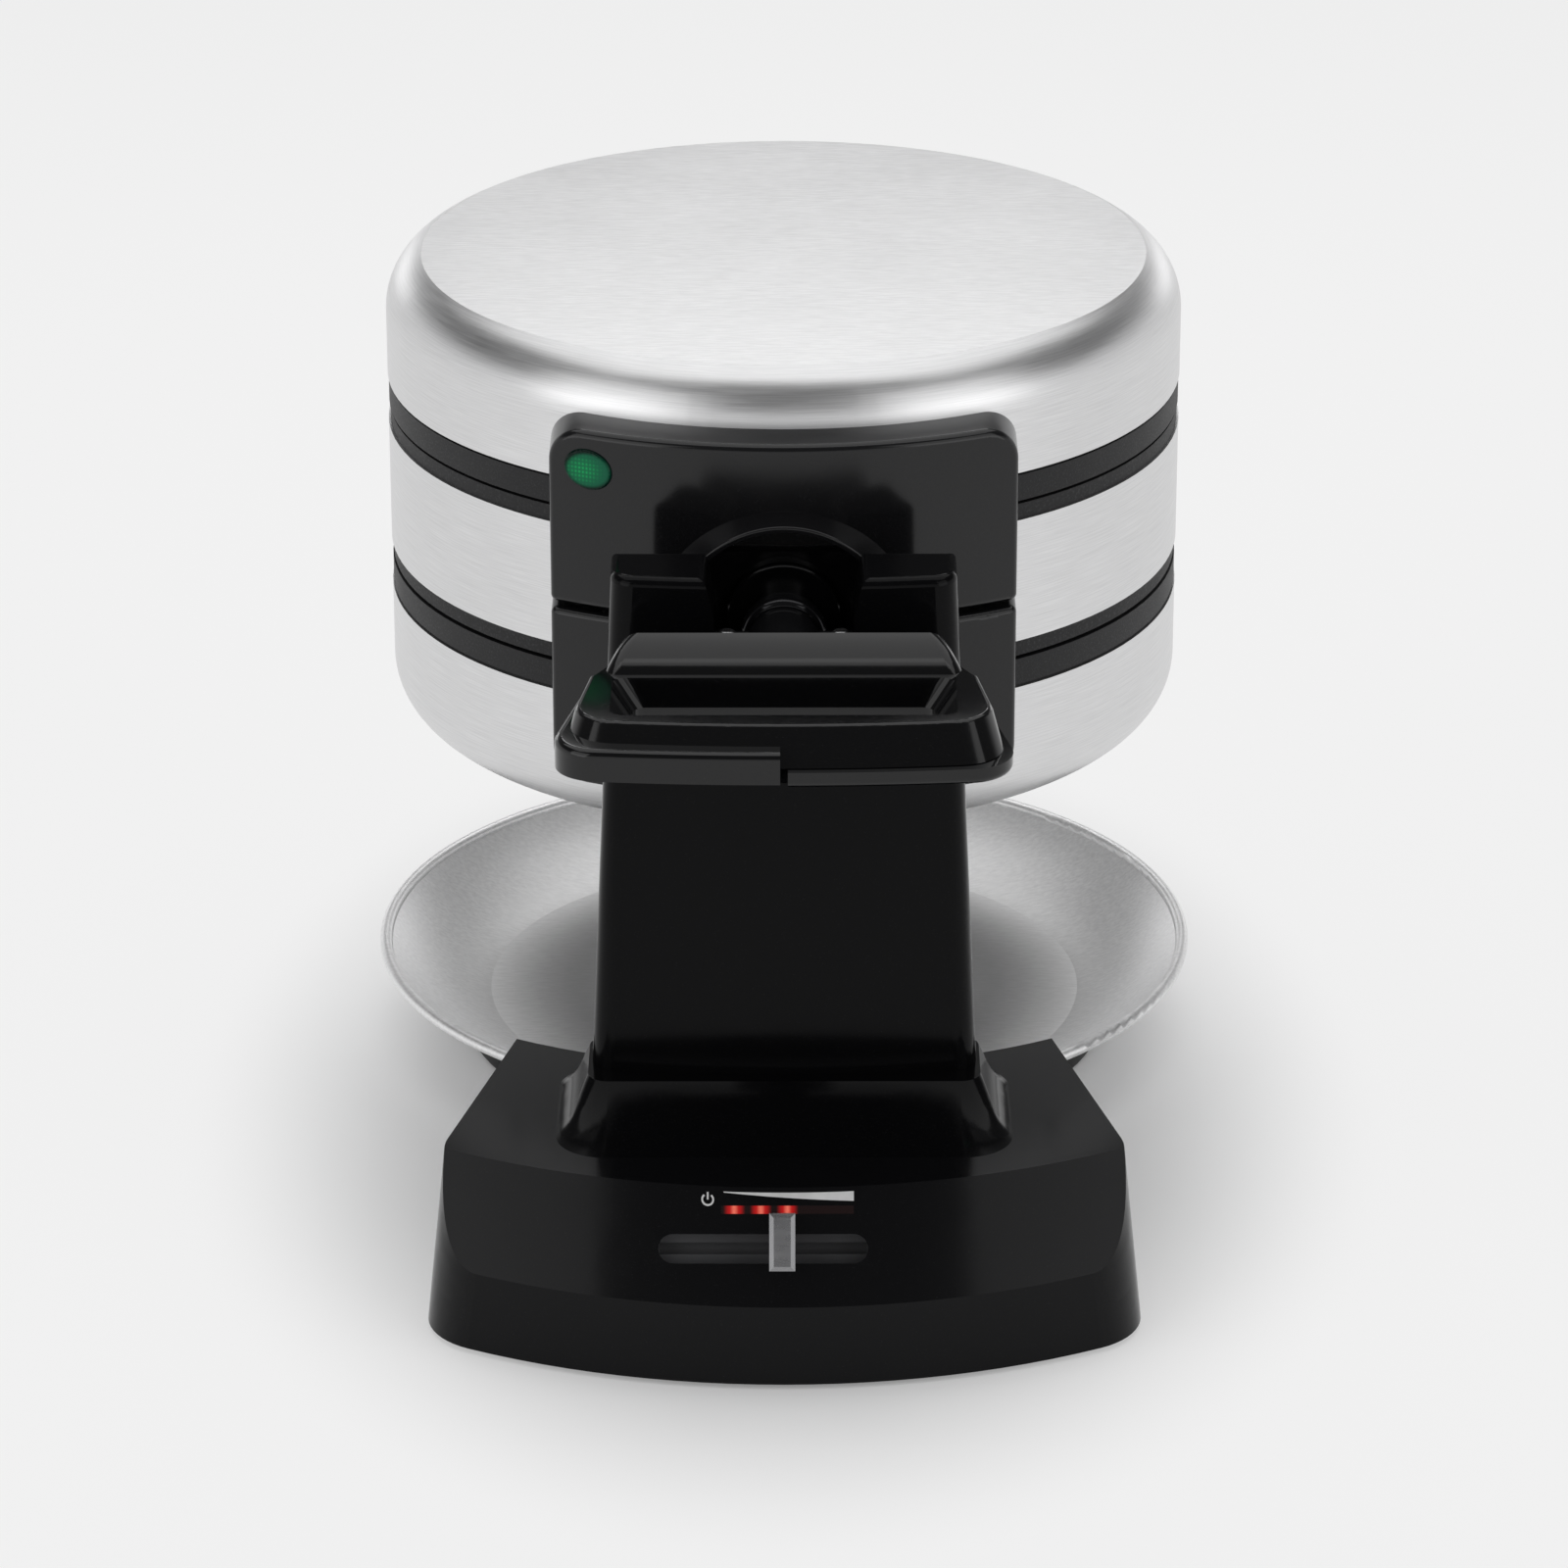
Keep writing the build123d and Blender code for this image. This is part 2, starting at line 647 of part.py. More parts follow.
def link(x0, x1, y0, y1, z0, z1):
    """A flat link from a rectangle at the cooker's wall to a knuckle round the hinge pin."""
    root = make_face(Polyline((y0, z0), (y1, z0), (y1, z1), (y0, z1), close=True))
    knuckle = Pos(HINGE_Y, HINGE_Z) * Circle(KNUCKLE_R)
    outline = make_hull((root + knuckle).edges())
    return Pos(x0, 0, 0) * extrude(Plane.YZ * outline, x1 - x0)


def hinge_arm():
    """The arm that joins a lid to its hinge pin."""
    arm = link(-ARM_HALF, ARM_HALF, COOKER_R - 5, COOKER_R + BRACKET_WALL, ARM_LOW, ARM_TOP)
    arm -= bar_z(COOKER_R, 0, HALF_HEIGHT)
    return arm - bar_x(PIN_R + RUNNING_FIT, -ARM_HALF - 1, ARM_HALF + 1, HINGE_Y, HINGE_Z)


def hinge_bracket():
    """The bracket on the back of the centre housing that holds both hinge pins."""
    bracket = Part()
    outer = ARM_HALF + EAR_GAP + EAR
    for side in (-1, 1):
        x0 = min(side * outer, side * (outer - EAR))
        ear = link(x0, x0 + EAR, COOKER_R - 5, COOKER_R + BRACKET_WALL, 0, BRACKET_HALF_Z)
        bracket += ear
        bracket += Rot(180, 0, 0) * Rot(0, 0, 180) * ear
    wall = bar_z(COOKER_R + BRACKET_WALL, -BRACKET_HALF_Z, BRACKET_HALF_Z)
    bracket += wall & block(-outer, outer, 0, COOKER_R + 9, -BRACKET_HALF_Z, BRACKET_HALF_Z)
    bracket -= bar_z(COOKER_R, -HALF_HEIGHT, HALF_HEIGHT)
    return bracket - hinge_pins()


def hinge_pins():
    """The two hinge pins."""
    outer = ARM_HALF + EAR_GAP + EAR
    pin = bar_x(PIN_R, -outer, outer, HINGE_Y, HINGE_Z)
    return pin + bar_x(PIN_R, -outer, outer, HINGE_Y, -HINGE_Z)


def middle_band():
    """The brushed steel band of the centre housing, with the hole for the shaft."""
    band = bar_z(COOKER_R, -BAND_HALF, BAND_HALF) - bar_z(SKIN_R, -BAND_HALF, BAND_HALF)
    return band - bar_y(SHAFT_R, -COOKER_R - 1, 0)


def hub_flange():
    """The saddle flange that seats the shaft on the band."""
    flange = bar_y(HUB_FLANGE_R, HUB_FLANGE_Y, -COOKER_R + 8)
    flange += bar_y(HUB_BOSS_R, HUB_BOSS_Y, HUB_FLANGE_Y + 1)
    flange = fillet(flange.edges().filter_by(GeomType.CIRCLE).sort_by(Axis.Y)[0], 1.2)
    flange &= block(-HUB_FLANGE_R, HUB_FLANGE_R, HUB_BOSS_Y, 0, -BAND_HALF, BAND_HALF)
    return flange - bar_z(COOKER_R, -HUB_FLANGE_R, HUB_FLANGE_R) - bar_y(SHAFT_R, HUB_BOSS_Y - 1, 0)


def pivot_shaft():
    """The hollow shaft from inside the band, through the bearing, into the handle."""
    inner = -COOKER_R + NUT_THICK + 3
    shaft = bar_y(SHAFT_R, COLLAR_BACK_Y, inner)
    collar = bar_y(COLLAR_R, COLLAR_FRONT_Y, COLLAR_BACK_Y)
    shaft += fillet(collar.edges().filter_by(GeomType.CIRCLE), 2.5)
    shaft += bar_y(SHOULDER_RING_R, BEARING_BACK_Y + BEARING_END_GAP, COLLAR_FRONT_Y)
    shaft += bar_y(JOURNAL_R, NECK_BACK_Y, COLLAR_FRONT_Y)
    half = SQUARE / 2
    end = NECK_BACK_Y - (NECK_BACK_Y - NECK_FRONT_Y) * 0.75
    shaft += block(-half, half, end, NECK_BACK_Y + 4, -half, half)
    return shaft - bar_y(SHAFT_BORE, end - 1, inner + 1)


def shaft_nut():
    """The hexagon nut that clamps the shaft inside the band."""
    flat = Plane.XZ * RegularPolygon(NUT_R, 6)
    nut = Pos(0, -COOKER_R + 2 + NUT_THICK, 0) * extrude(flat, NUT_THICK)
    nut &= bar_z(SKIN_R, -NUT_R, NUT_R)
    return nut - bar_y(SHAFT_R, -COOKER_R - 1, 0)


def retaining_clip():
    """The open clip on the journal in front of the bearing."""
    y0 = BEARING_FRONT_Y - BEARING_END_GAP - CLIP_THICK
    ring = bar_y(CLIP_R, y0, y0 + CLIP_THICK) - bar_y(JOURNAL_R, y0 - 1, y0 + CLIP_THICK + 1)
    return ring - block(-2, 2, y0 - 1, y0 + CLIP_THICK + 1, 0, CLIP_R + 1)


def stop_pin():
    """The pin on the shaft that ends the half turn against the stop ring."""
    middle = STOP_BACK_Y - STOP_THICK / 2
    pin = bar_x(STOP_THICK / 2 - 0.4, -STOP_R + 0.6, 0, middle, 0)
    return pin - bar_y(JOURNAL_R, middle - STOP_THICK, middle + STOP_THICK)


def stop_ring():
    """The fixed half ring below the shaft that the pin comes to rest on."""
    inner = JOURNAL_R + 1.0
    section = Pos((inner + STOP_R) / 2, 0) * Rectangle(STOP_R - inner, STOP_THICK)
    arc = revolve(section, Axis.Y, STOP_ARC)
    ring = Pos(0, STOP_BACK_Y - STOP_THICK / 2, 0) * Rot(0, (180 - STOP_ARC) / 2, 0) * arc
    half = NOTCH_HALF - STOP_SEAT_INSET
    seat = block(-half, half, STOP_BACK_Y, BEARING_FRONT_Y, NOTCH_FLOOR, -CLIP_R - STOP_SEAT_DROP)
    return ring + seat


def bearing_bore():
    """The seat of the bush in the bearing block and its cap."""
    return bar_y(JOURNAL_R + RUNNING_FIT + BUSH_WALL, BEARING_FRONT_Y - 1, BEARING_BACK_Y + 1)


def bearing_block():
    """The lower half of the bearing, seated on the floor of the notch."""
    half = NOTCH_HALF - NOTCH_FIT
    lower = block(-half, half, BEARING_FRONT_Y, BEARING_BACK_Y, NOTCH_FLOOR, 0)
    return lower - bearing_bore() - bearing_screws()


def bearing_cap():
    """The strap over the bush, with an ear on each side."""
    half = NOTCH_HALF - NOTCH_FIT
    strap = bar_y(JOURNAL_R + BUSH_WALL + CAP_WALL, BEARING_FRONT_Y, BEARING_BACK_Y)
    strap += block(-half, half, BEARING_FRONT_Y, BEARING_BACK_Y, 0, BEARING_EAR_H)
    strap &= block(-half, half, BEARING_FRONT_Y, BEARING_BACK_Y, 0, NOTCH_HALF)
    return strap - bearing_bore() - bearing_screws()


def bearing_bush():
    """The bronze bush that the shaft turns in."""
    outer = JOURNAL_R + RUNNING_FIT + BUSH_WALL
    bush = bar_y(outer, BEARING_FRONT_Y, BEARING_BACK_Y)
    return bush - bar_y(JOURNAL_R + RUNNING_FIT, BEARING_FRONT_Y - 1, BEARING_BACK_Y + 1)


def bearing_screws():
    """The two domed screws that hold the bearing cap down."""
    screws = Part()
    middle = (BEARING_BACK_Y + BEARING_FRONT_Y) / 2
    for side in (-1, 1):
        x = side * BEARING_SCREW_X
        head = bar_z(SCREW_HEAD_R, BEARING_EAR_H, BEARING_EAR_H + BEARING_HEAD_H, x, middle)
        head = fillet(head.edges().sort_by(Axis.Z)[-1], BEARING_HEAD_ROUND)
        screws += head + bar_z(SCREW_SHANK_R, -BEARING_SCREW_DEPTH, BEARING_EAR_H, x, middle)
    return screws


def handle_face(z, forward, outward):
    """The plan of the handle's loop at one height, moved out from its widest outline."""
    back = LOOP_HALF_BACK + max(outward, 0)
    wide = LOOP_HALF_FRONT + outward
    front = LOOP_FRONT_Y - forward
    corner = front + LOOP_FRONT_BOW
    sides = Polyline((-wide, corner), (-back, NECK_FRONT_Y), (back, NECK_FRONT_Y), (wide, corner))
    bow = ThreePointArc((wide, corner), (0, front), (-wide, corner))
    face = make_face([sides, bow])
    return Pos(0, 0, z) * fillet(face.vertices().sort_by(Axis.Y)[:2], LOOP_CORNER)


def loop_half(rise, draft):
    """Half of the handle's loop, narrower away from the seam."""
    half = loft([handle_face(0, 0, 0), handle_face(rise, -draft, -LOOP_SIDE_DRAFT)])
    rim = half.edges().filter_by(lambda e: (e @ 0.5).Z > rise - 0.01 and (e @ 0.5).Y < NECK_FRONT_Y - 0.5)
    return fillet(rim, LOOP_ROUND)


def handle_neck():
    """The upper half of the neck behind the loop, with its crowned top."""
    rise = NECK_RISE
    crown = ThreePointArc(
        (NECK_BACK_Y, rise),
        (NECK_BACK_Y * 0.45 + NECK_FRONT_Y * 0.55, rise - (rise - LOOP_RISE) * 0.38),
        (NECK_FRONT_Y, LOOP_RISE),
    )
    front = NECK_FRONT_Y - 1
    rest = Polyline((NECK_FRONT_Y, LOOP_RISE), (front, LOOP_RISE), (front, 0), (NECK_BACK_Y, 0), (NECK_BACK_Y, rise))
    side = extrude(Plane.YZ * make_face([crown, rest]), NECK_HALF_FRONT + 2, both=True)
    plan = Polyline(
        (-NECK_HALF_BACK, NECK_BACK_Y),
        (NECK_HALF_BACK, NECK_BACK_Y),
        (NECK_HALF_FRONT, front),
        (-NECK_HALF_FRONT, front),
        close=True,
    )
    neck = side & extrude(make_face(plan), rise + 1)
    ends = neck.edges().filter_by(lambda e: abs((e @ 0.5).X) > NECK_HALF_BACK - 1 and (e @ 0.5).Z > LOOP_RISE + 1)
    return fillet(ends, 4.0)


def grip_opening():
    """The upper half of the opening for the fingers, wider at the top."""
    middle = (GRIP_BACK_Y + GRIP_FRONT_Y) / 2
    deep = GRIP_BACK_Y - GRIP_FRONT_Y
    low = LOOP_RISE - GRIP_SLOPE_DEPTH
    straight = Pos(0, middle, -0.1) * extrude(RectangleRounded(2 * GRIP_HALF, deep, 4), low + 0.2)
    mouth = loft([
        Pos(0, middle, low) * RectangleRounded(2 * GRIP_HALF, deep, 4),
        Pos(0, middle, LOOP_RISE + 0.1) * RectangleRounded(2 * GRIP_HALF_TOP, deep + 2 * GRIP_MARGIN, 4),
    ])
    return straight + mouth


def handle_whole():
    """Both halves of the handle together, without the lips."""
    loop = loop_half(LOOP_RISE, LOOP_DRAFT) + Rot(0, 180, 0) * loop_half(LOOP_LOW_RISE, LOOP_LOW_DRAFT)
    neck = handle_neck()
    opening = grip_opening()
    whole = loop + neck + Rot(0, 180, 0) * neck
    whole -= opening + Rot(0, 180, 0) * opening
    return whole - pivot_shaft()


def above_seam():
    """The space of the handle's upper half: the seam is lower on the left side."""
    wide = LOOP_HALF_FRONT + 9
    left = block(-wide, 0, LOOP_FRONT_Y - 9, NECK_BACK_Y + 1, LEFT_SEAM, NECK_RISE + 1)
    return left + block(0, wide, LOOP_FRONT_Y - 9, NECK_BACK_Y + 1, RIGHT_SEAM, NECK_RISE + 1)


def lip(side, low, high):
    """A lip along one side of the loop's front."""
    wide = LOOP_HALF_FRONT + 9
    x0 = min(side * LIP_GAP / 2, side * wide)
    ring = extrude(handle_face(low, LIP_REACH, LIP_REACH), high - low)
    ring = fillet(ring.edges().filter_by(lambda e: (e @ 0.5).Z > high - 0.01), LIP_ROUND)
    ring -= extrude(handle_face(low - 1, -LOOP_DRAFT, -LOOP_SIDE_DRAFT), high - low + 2)
    y1 = NECK_FRONT_Y - 4
    return ring & block(x0, x0 + wide - LIP_GAP / 2, LOOP_FRONT_Y - 9, y1, low, high)


def handle_upper():
    """The handle's upper half, with the lip on the left."""
    upper = handle_whole() & above_seam()
    upper += lip(-1, LEFT_SEAM, LEFT_LIP_TOP) - grip_opening()
    return upper - handle_screws()


def handle_lower():
    """The handle's lower half, with the lip on the right."""
    lower = handle_whole() - above_seam()
    rim = Rot(0, 180, 0) * lip(-1, -RIGHT_SEAM, -RIGHT_LIP_LOW)
    return lower + rim - handle_screws() - handle_bores()


def handle_screw_places():
    """Where the handle's four screws stand."""
    places = ((HANDLE_SCREW_X, HANDLE_SCREW_Y), (NECK_SCREW_X, NECK_SCREW_Y))
    return [(side * x, y) for x, y in places for side in (-1, 1)]


def handle_screws():
    """The four screws that hold the handle's halves together from below."""
    screws = Part()
    for x, y in handle_screw_places():
        screws += bar_z(HANDLE_HEAD_R, HANDLE_HEAD_LOW, HANDLE_SHANK_LOW, x, y)
        screws += bar_z(SCREW_SHANK_R, HANDLE_SHANK_LOW, HANDLE_SHANK_TOP, x, y)
    return screws


def handle_bores():
    """The bores below the heads of the handle's screws."""
    bores = Part()
    for x, y in handle_screw_places():
        bores += bar_z(HANDLE_HEAD_R, -NECK_RISE - 1, HANDLE_HEAD_LOW, x, y)
    return bores


def column_face(z, inset, back):
    """The column's plan at one height."""
    share = (z - COLUMN_FOOT_Z) / (COLUMN_TOP_Z - COLUMN_FOOT_Z)
    half = COLUMN_HALF_FOOT + share * (COLUMN_HALF_TOP - COLUMN_HALF_FOOT) - inset
    front = COLUMN_FRONT_FOOT + share * (COLUMN_FRONT_TOP - COLUMN_FRONT_FOOT) + inset
    sides = Polyline((-half, front + COLUMN_BOW), (-half, back), (half, back), (half, front + COLUMN_BOW))
    bow = ThreePointArc((half, front + COLUMN_BOW), (0, front), (-half, front + COLUMN_BOW))
    face = make_face([sides, bow])
    return Pos(0, 0, z) * fillet(face.vertices().sort_by(Axis.Y)[:2], COLUMN_CORNER - inset)


def notch():
    """The open notch in the column's head that the shaft lies in."""
    top = COLUMN_TOP_Z + 1
    step = PIVOT_Z + NOTCH_STEP
    floor = PIVOT_Z + NOTCH_FLOOR
    outline = Polyline(
        (-NOTCH_TOP_HALF, top),
        (-NOTCH_TOP_HALF, COLUMN_TOP_Z),
        (-NOTCH_HALF, step),
        (-NOTCH_HALF, floor),
        (NOTCH_HALF, floor),
        (NOTCH_HALF, step),
        (NOTCH_TOP_HALF, COLUMN_TOP_Z),
        (NOTCH_TOP_HALF, top),
        close=True,
    )
    return extrude(Plane.XZ * make_face(outline), -COLUMN_FRONT_TOP + 9)


def column_hollow(inset):
    """The column's hollow below its head, open at the back."""
    head = PIVOT_Z + NOTCH_FLOOR - 2 * COLUMN_WALL
    back = COLUMN_BACK_Y + 1
    return loft([column_face(COLUMN_FOOT_Z - 1, inset, back), column_face(head, inset, back)])


def column_foot():
    """The spreading foot of the column on the base."""
    sections = []
    for rise, narrow, back in FOOT_STEPS:
        half = FOOT_HALF - narrow
        front = FOOT_FRONT_Y + back
        deep = FOOT_BACK_Y - front
        corner = min(FOOT_CORNER - narrow, deep / 2 - 1)
        plan = RectangleRounded(2 * half, deep, corner)
        sections.append(Pos(0, front + deep / 2, COLUMN_FOOT_Z + rise * FOOT_RISE) * plan)
    return loft(sections)


def column_shell():
    """The column's front and sides, with its notched head and spreading foot."""
    top = column_face(COLUMN_TOP_Z, 0, COLUMN_BACK_Y)
    column = loft([column_face(COLUMN_FOOT_Z, 0, COLUMN_BACK_Y), top])
    column = column - notch()
    rim = column.edges().filter_by(lambda e: (e @ 0.5).Z > COLUMN_TOP_Z - 0.5)
    column = fillet(rim, COLUMN_TOP_ROUND)
    column += column_foot()
    column -= column_hollow(COLUMN_WALL)
    return column - column_screws()


def column_back_cover():
    """The flat cover that closes the column's back."""
    slab = block(-FOOT_HALF, FOOT_HALF, COLUMN_BACK_Y - COLUMN_WALL, COLUMN_BACK_Y, COLUMN_FOOT_Z, PIVOT_Z)
    return slab & column_hollow(COLUMN_WALL + COVER_FIT)


def column_screws():
    """The four screws that hold the column's foot down from inside the base."""
    screws = Part()
    low = COLUMN_FOOT_Z - BASE_WALL - SCREW_HEAD_H
    for x, setback in COLUMN_SCREWS:
        for side in (-1, 1):
            screws += screw_up(side * x, FOOT_FRONT_Y + setback, low, COLUMN_SCREW_LENGTH)
    return screws


def base_plan(z, narrow, setback, inset):
    """The plan of the base's front block at one height."""
    front = BASE_FRONT_Y + setback + inset
    radius = BASE_FRONT_R
    half = BASE_HALF_FRONT - narrow - inset
    rear = BASE_HALF_REAR - narrow - inset
    corner = front + radius - math.sqrt(radius**2 - half**2)
    sides = Polyline((-half, corner), (-rear, BASE_REAR_Y - inset), (rear, BASE_REAR_Y - inset), (half, corner))
    bow = ThreePointArc((half, corner), (0, front), (-half, corner))
    face = make_face([sides, bow])
    return Pos(0, 0, z) * fillet(face.vertices().sort_by(Axis.Y)[:2], BASE_CORNER - inset)


def facet_space(inset):
    """The space behind the sloped control facet."""
    drop = FACET_LOW_Z + 1
    front = FACET_MID_Y - (FACET_MID_Z + 1) * FACET_RUN / FACET_RISE + inset * FACET_SLANT / FACET_RISE
    half = BASE_HALF_FRONT * 1.2
    corner = front + BASE_FRONT_R - math.sqrt(BASE_FRONT_R**2 - half**2)
    sides = Polyline((-half, corner), (-half, 0), (half, 0), (half, corner))
    bow = ThreePointArc((half, corner), (0, front), (-half, corner))
    face = Pos(0, 0, -1) * make_face([sides, bow])
    reach = (COLUMN_FOOT_Z + drop) * FACET_SLANT / FACET_RISE
    return extrude(face, reach, dir=(0, FACET_RUN, FACET_RISE))


def base_form(inset, low):
    """The base's solid form: front block with its facet, hollowed back and tray bed."""
    bottom = base_plan(BASE_LIFT, 0, 0, inset)
    top = base_plan(COLUMN_FOOT_Z, BASE_DRAFT_SIDE, BASE_DRAFT_FRONT, inset)
    form = loft([bottom, top]) & facet_space(inset)
    if inset:
        form &= block(-FAR, FAR, -FAR, FAR, 0, COLUMN_FOOT_Z - inset)
    bed_top = BED_Z - inset
    hollow = spun(
        (0, bed_top),
        (REAR_LOW_R + inset, bed_top),
        (REAR_LOW_R + inset, REAR_LOW_Z),
        (REAR_TOP_R + inset, COLUMN_FOOT_Z),
        (REAR_TOP_R + inset, COLUMN_FOOT_Z + 1),
        (0, COLUMN_FOOT_Z + 1),
    )
    form -= Pos(0, TRAY_Y, 0) * hollow
    form += bar_z(BED_R - inset, BASE_LIFT, bed_top, 0, TRAY_Y)
    if low < BASE_LIFT:
        form += Pos(0, 0, low - BASE_LIFT) * form
    return form


def facet_box(x0, x1, u0, u1, n0, n1):
    """A box in the facet's own directions: across, up the slope and out."""
    return FACET * block(x0, x1, u0, u1, n0, n1)


def slider_slot():
    """The slot in the facet that the slider's stem runs in."""
    outline = Pos(SLOT_X, 0) * SlotOverall(SLOT_LENGTH, 2 * SLOT_HALF)
    return FACET * Pos(0, 0, -POT_FRONT - 3) * extrude(outline, POT_FRONT + 6)


def strip_block(inset):
    """The window of the indicator strip."""
    half = STRIP_LENGTH / 2
    up = STRIP_HEIGHT / 2
    return facet_box(STRIP_X - half, STRIP_X + half, STRIP_U - up, STRIP_U + up, -BASE_WALL - inset, 2)


def board_bosses():
    """The two posts behind the facet that carry the control board."""
    bosses = Part()
    for side in (-1, 1):
        x0 = side * (BOARD_HALF_WIDTH - BOSS_SIZE / 2) - BOSS_SIZE / 2
        bosses += facet_box(x0, x0 + BOSS_SIZE, -BOSS_SIZE / 2, BOSS_SIZE / 2, -POT_BACK, -BASE_WALL)
    return bosses


def wire_hole():
    """The hole that the wiring takes from the base up into the column."""
    back = COLUMN_BACK_Y - WIRE_HOLE_INSET
    return block(-WIRE_HOLE_HALF, WIRE_HOLE_HALF, back - WIRE_HOLE_DEPTH, back, 0, COLUMN_FOOT_Z + 1)


def base_housing():
    """The base's glossy housing, open below."""
    form = base_form(0, BASE_LIFT)
    housing = form - base_form(BASE_WALL, 0)
    housing += board_bosses() & form
    housing -= slider_slot()
    housing -= strip_block(POT_FRONT)
    housing -= wire_hole()
    housing -= column_screws()
    return housing - inlet_bar(INLET_R)


def base_bottom_plate():
    """The flat plate that closes the base from below."""
    slab = block(-FAR, FAR, -FAR, FAR, BASE_LIFT + PLATE_LIFT, BASE_LIFT + PLATE_LIFT + PLATE_SHEET)
    return slab & base_form(BASE_WALL + FLOOR_FIT, 0) - base_screws()


def base_screws():
    """The screws of the bottom plate."""
    screws = Part()
    low = BASE_LIFT + PLATE_LIFT
    for x, setback in BASE_SCREWS:
        for side in (-1, 1):
            y = BASE_FRONT_Y + setback
            screws += bar_z(SCREW_SHANK_R * BASE_SCREW_GROW, low, low + PLATE_SHEET + FLOOR_FIT, side * x, y)
    return screws


def rubber_feet():
    """The four rubber feet."""
    feet = Part()
    for x, y in ((FRONT_FOOT_X, FRONT_FOOT_Y), (REAR_FOOT_X, REAR_FOOT_Y)):
        for side in (-1, 1):
            feet += bar_z(FOOT_R, 0, BASE_LIFT + PLATE_LIFT, side * x, y)
    return feet


def inlet_bar(radius):
    """A bar along the cord inlet's axis, from inside the base to its tip."""
    return bar_x(radius, INLET_TIP_X, INLET_END_X, INLET_Y, INLET_Z)


def cord_inlet():
    """The gland in the base's left side that a cord would leave through."""
    gland = inlet_bar(INLET_R)
    flange = bar_x(INLET_FLANGE_R, INLET_FLANGE_X, INLET_FLANGE_END, INLET_Y, INLET_Z)
    gland += flange - base_form(0, BASE_LIFT)
    return gland - inlet_bar(INLET_BORE)


def terminal_block():
    """The block inside the base that joins the cord to the wiring."""
    low = BASE_LIFT + PLATE_LIFT + PLATE_SHEET
    body = Pos(TERMINAL_X, TERMINAL_Y, (low + TERMINAL_TOP) / 2) * Box(
        TERMINAL_LENGTH, TERMINAL_DEPTH, TERMINAL_TOP - low
    )
    for step in (-1, 0, 1):
        body -= bar_z(TERMINAL_BORE, TERMINAL_TOP / 2, TERMINAL_TOP + 1, TERMINAL_X + TERMINAL_PITCH * step, TERMINAL_Y)
    return body


def control_board():
    """The circuit board behind the facet."""
    half = BOARD_HALF_WIDTH
    up = BOARD_HALF_HEIGHT
    return facet_box(-half, half, -up, up, -POT_BACK - BOARD_THICK, -POT_BACK)


def knob_travel():
    """How far the slider's middle can go each way from the slot's middle."""
    lost = SLOT_HALF - math.sqrt(SLOT_HALF**2 - (STEM_THICK / 2) ** 2)
    return SLOT_LENGTH / 2 - lost - STEM_WIDTH / 2 - STEM_CLEAR


def slide_potentiometer():
    """The slide control on the board, with the channel that the stem runs in."""
    reach = knob_travel() + STEM_WIDTH / 2 + STEM_CLEAR
    half = reach + POT_MARGIN
    up = STEM_THICK / 2 + STEM_CLEAR
    body = facet_box(SLOT_X - half, SLOT_X + half, -POT_HALF_HEIGHT, POT_HALF_HEIGHT, -POT_BACK, -POT_FRONT)
    return body - facet_box(SLOT_X - reach, SLOT_X + reach, -up, up, -POT_BACK + 1.5, 0)


def slider_knob():
    """The bevelled grey slider with its stem."""
    base = FACET * Pos(KNOB_X, KNOB_U, KNOB_GAP) * Box(
        KNOB_WIDTH, KNOB_LENGTH, KNOB_HEIGHT, align=(Align.CENTER, Align.CENTER, Align.MIN)
    )
    front = base.faces().sort_by(lambda f: -(f.center().Z - f.center().Y))[0]
    knob = chamfer(front.edges(), KNOB_BEVEL)
    half = STEM_WIDTH / 2
    up = STEM_THICK / 2
    return knob + facet_box(KNOB_X - half, KNOB_X + half, -up, up, -STEM_DEPTH, KNOB_GAP)


def indicator_strip():
    """The smoked window in front of the level lamps."""
    return strip_block(0) & base_form(0, BASE_LIFT)


def indicator_leds():
    """The level lamps on the board."""
    lamps = Part()
    half = LED_SIZE / 2
    for count in range(LED_COUNT):
        x = STRIP_X + (count - (LED_COUNT - 1) / 2) * STRIP_LENGTH / LED_COUNT
        lamps += facet_box(x - half, x + half, STRIP_U - half, STRIP_U + half, -POT_BACK, -BASE_WALL - 3)
    return lamps


def drip_tray():
    """The steel drip tray with its rolled rim."""
    rim = TRAY_R - TRAY_BEAD_R
    high = TRAY_RIM_Z - TRAY_BEAD_R
    bend_r = TRAY_FLOOR_R + (rim - TRAY_FLOOR_R) * TRAY_BEND[0]
    bend_z = BED_Z + (high - BED_Z) * TRAY_BEND[1]
    wall = ThreePointArc((TRAY_FLOOR_R, BED_Z), (bend_r, bend_z), (rim, high))
    upper = ThreePointArc(
        (rim - TRAY_SHEET, high + TRAY_SHEET / 2),
        (bend_r - TRAY_SHEET / 2, bend_z + TRAY_SHEET),
        (TRAY_FLOOR_R, BED_Z + TRAY_SHEET),
    )
    outline = make_face([
        Line((0, BED_Z), (TRAY_FLOOR_R, BED_Z)),
        wall,
        Line((rim, high), (rim - TRAY_SHEET, high + TRAY_SHEET / 2)),
        upper,
        Polyline((TRAY_FLOOR_R, BED_Z + TRAY_SHEET), (0, BED_Z + TRAY_SHEET), (0, BED_Z)),
    ])
    dish = revolve(Plane.XZ * outline, Axis.Z)
    bead = revolve(Plane.XZ * Pos(rim, high) * Circle(TRAY_BEAD_R), Axis.Z)
    return Pos(0, TRAY_Y, 0) * (dish + bead)


def save(name, shape, lift):
    """Writes one piece in the object's own frame."""
    export_step(Pos(0, FRAME_SHIFT, lift) * shape, f"parts/{name}.step")


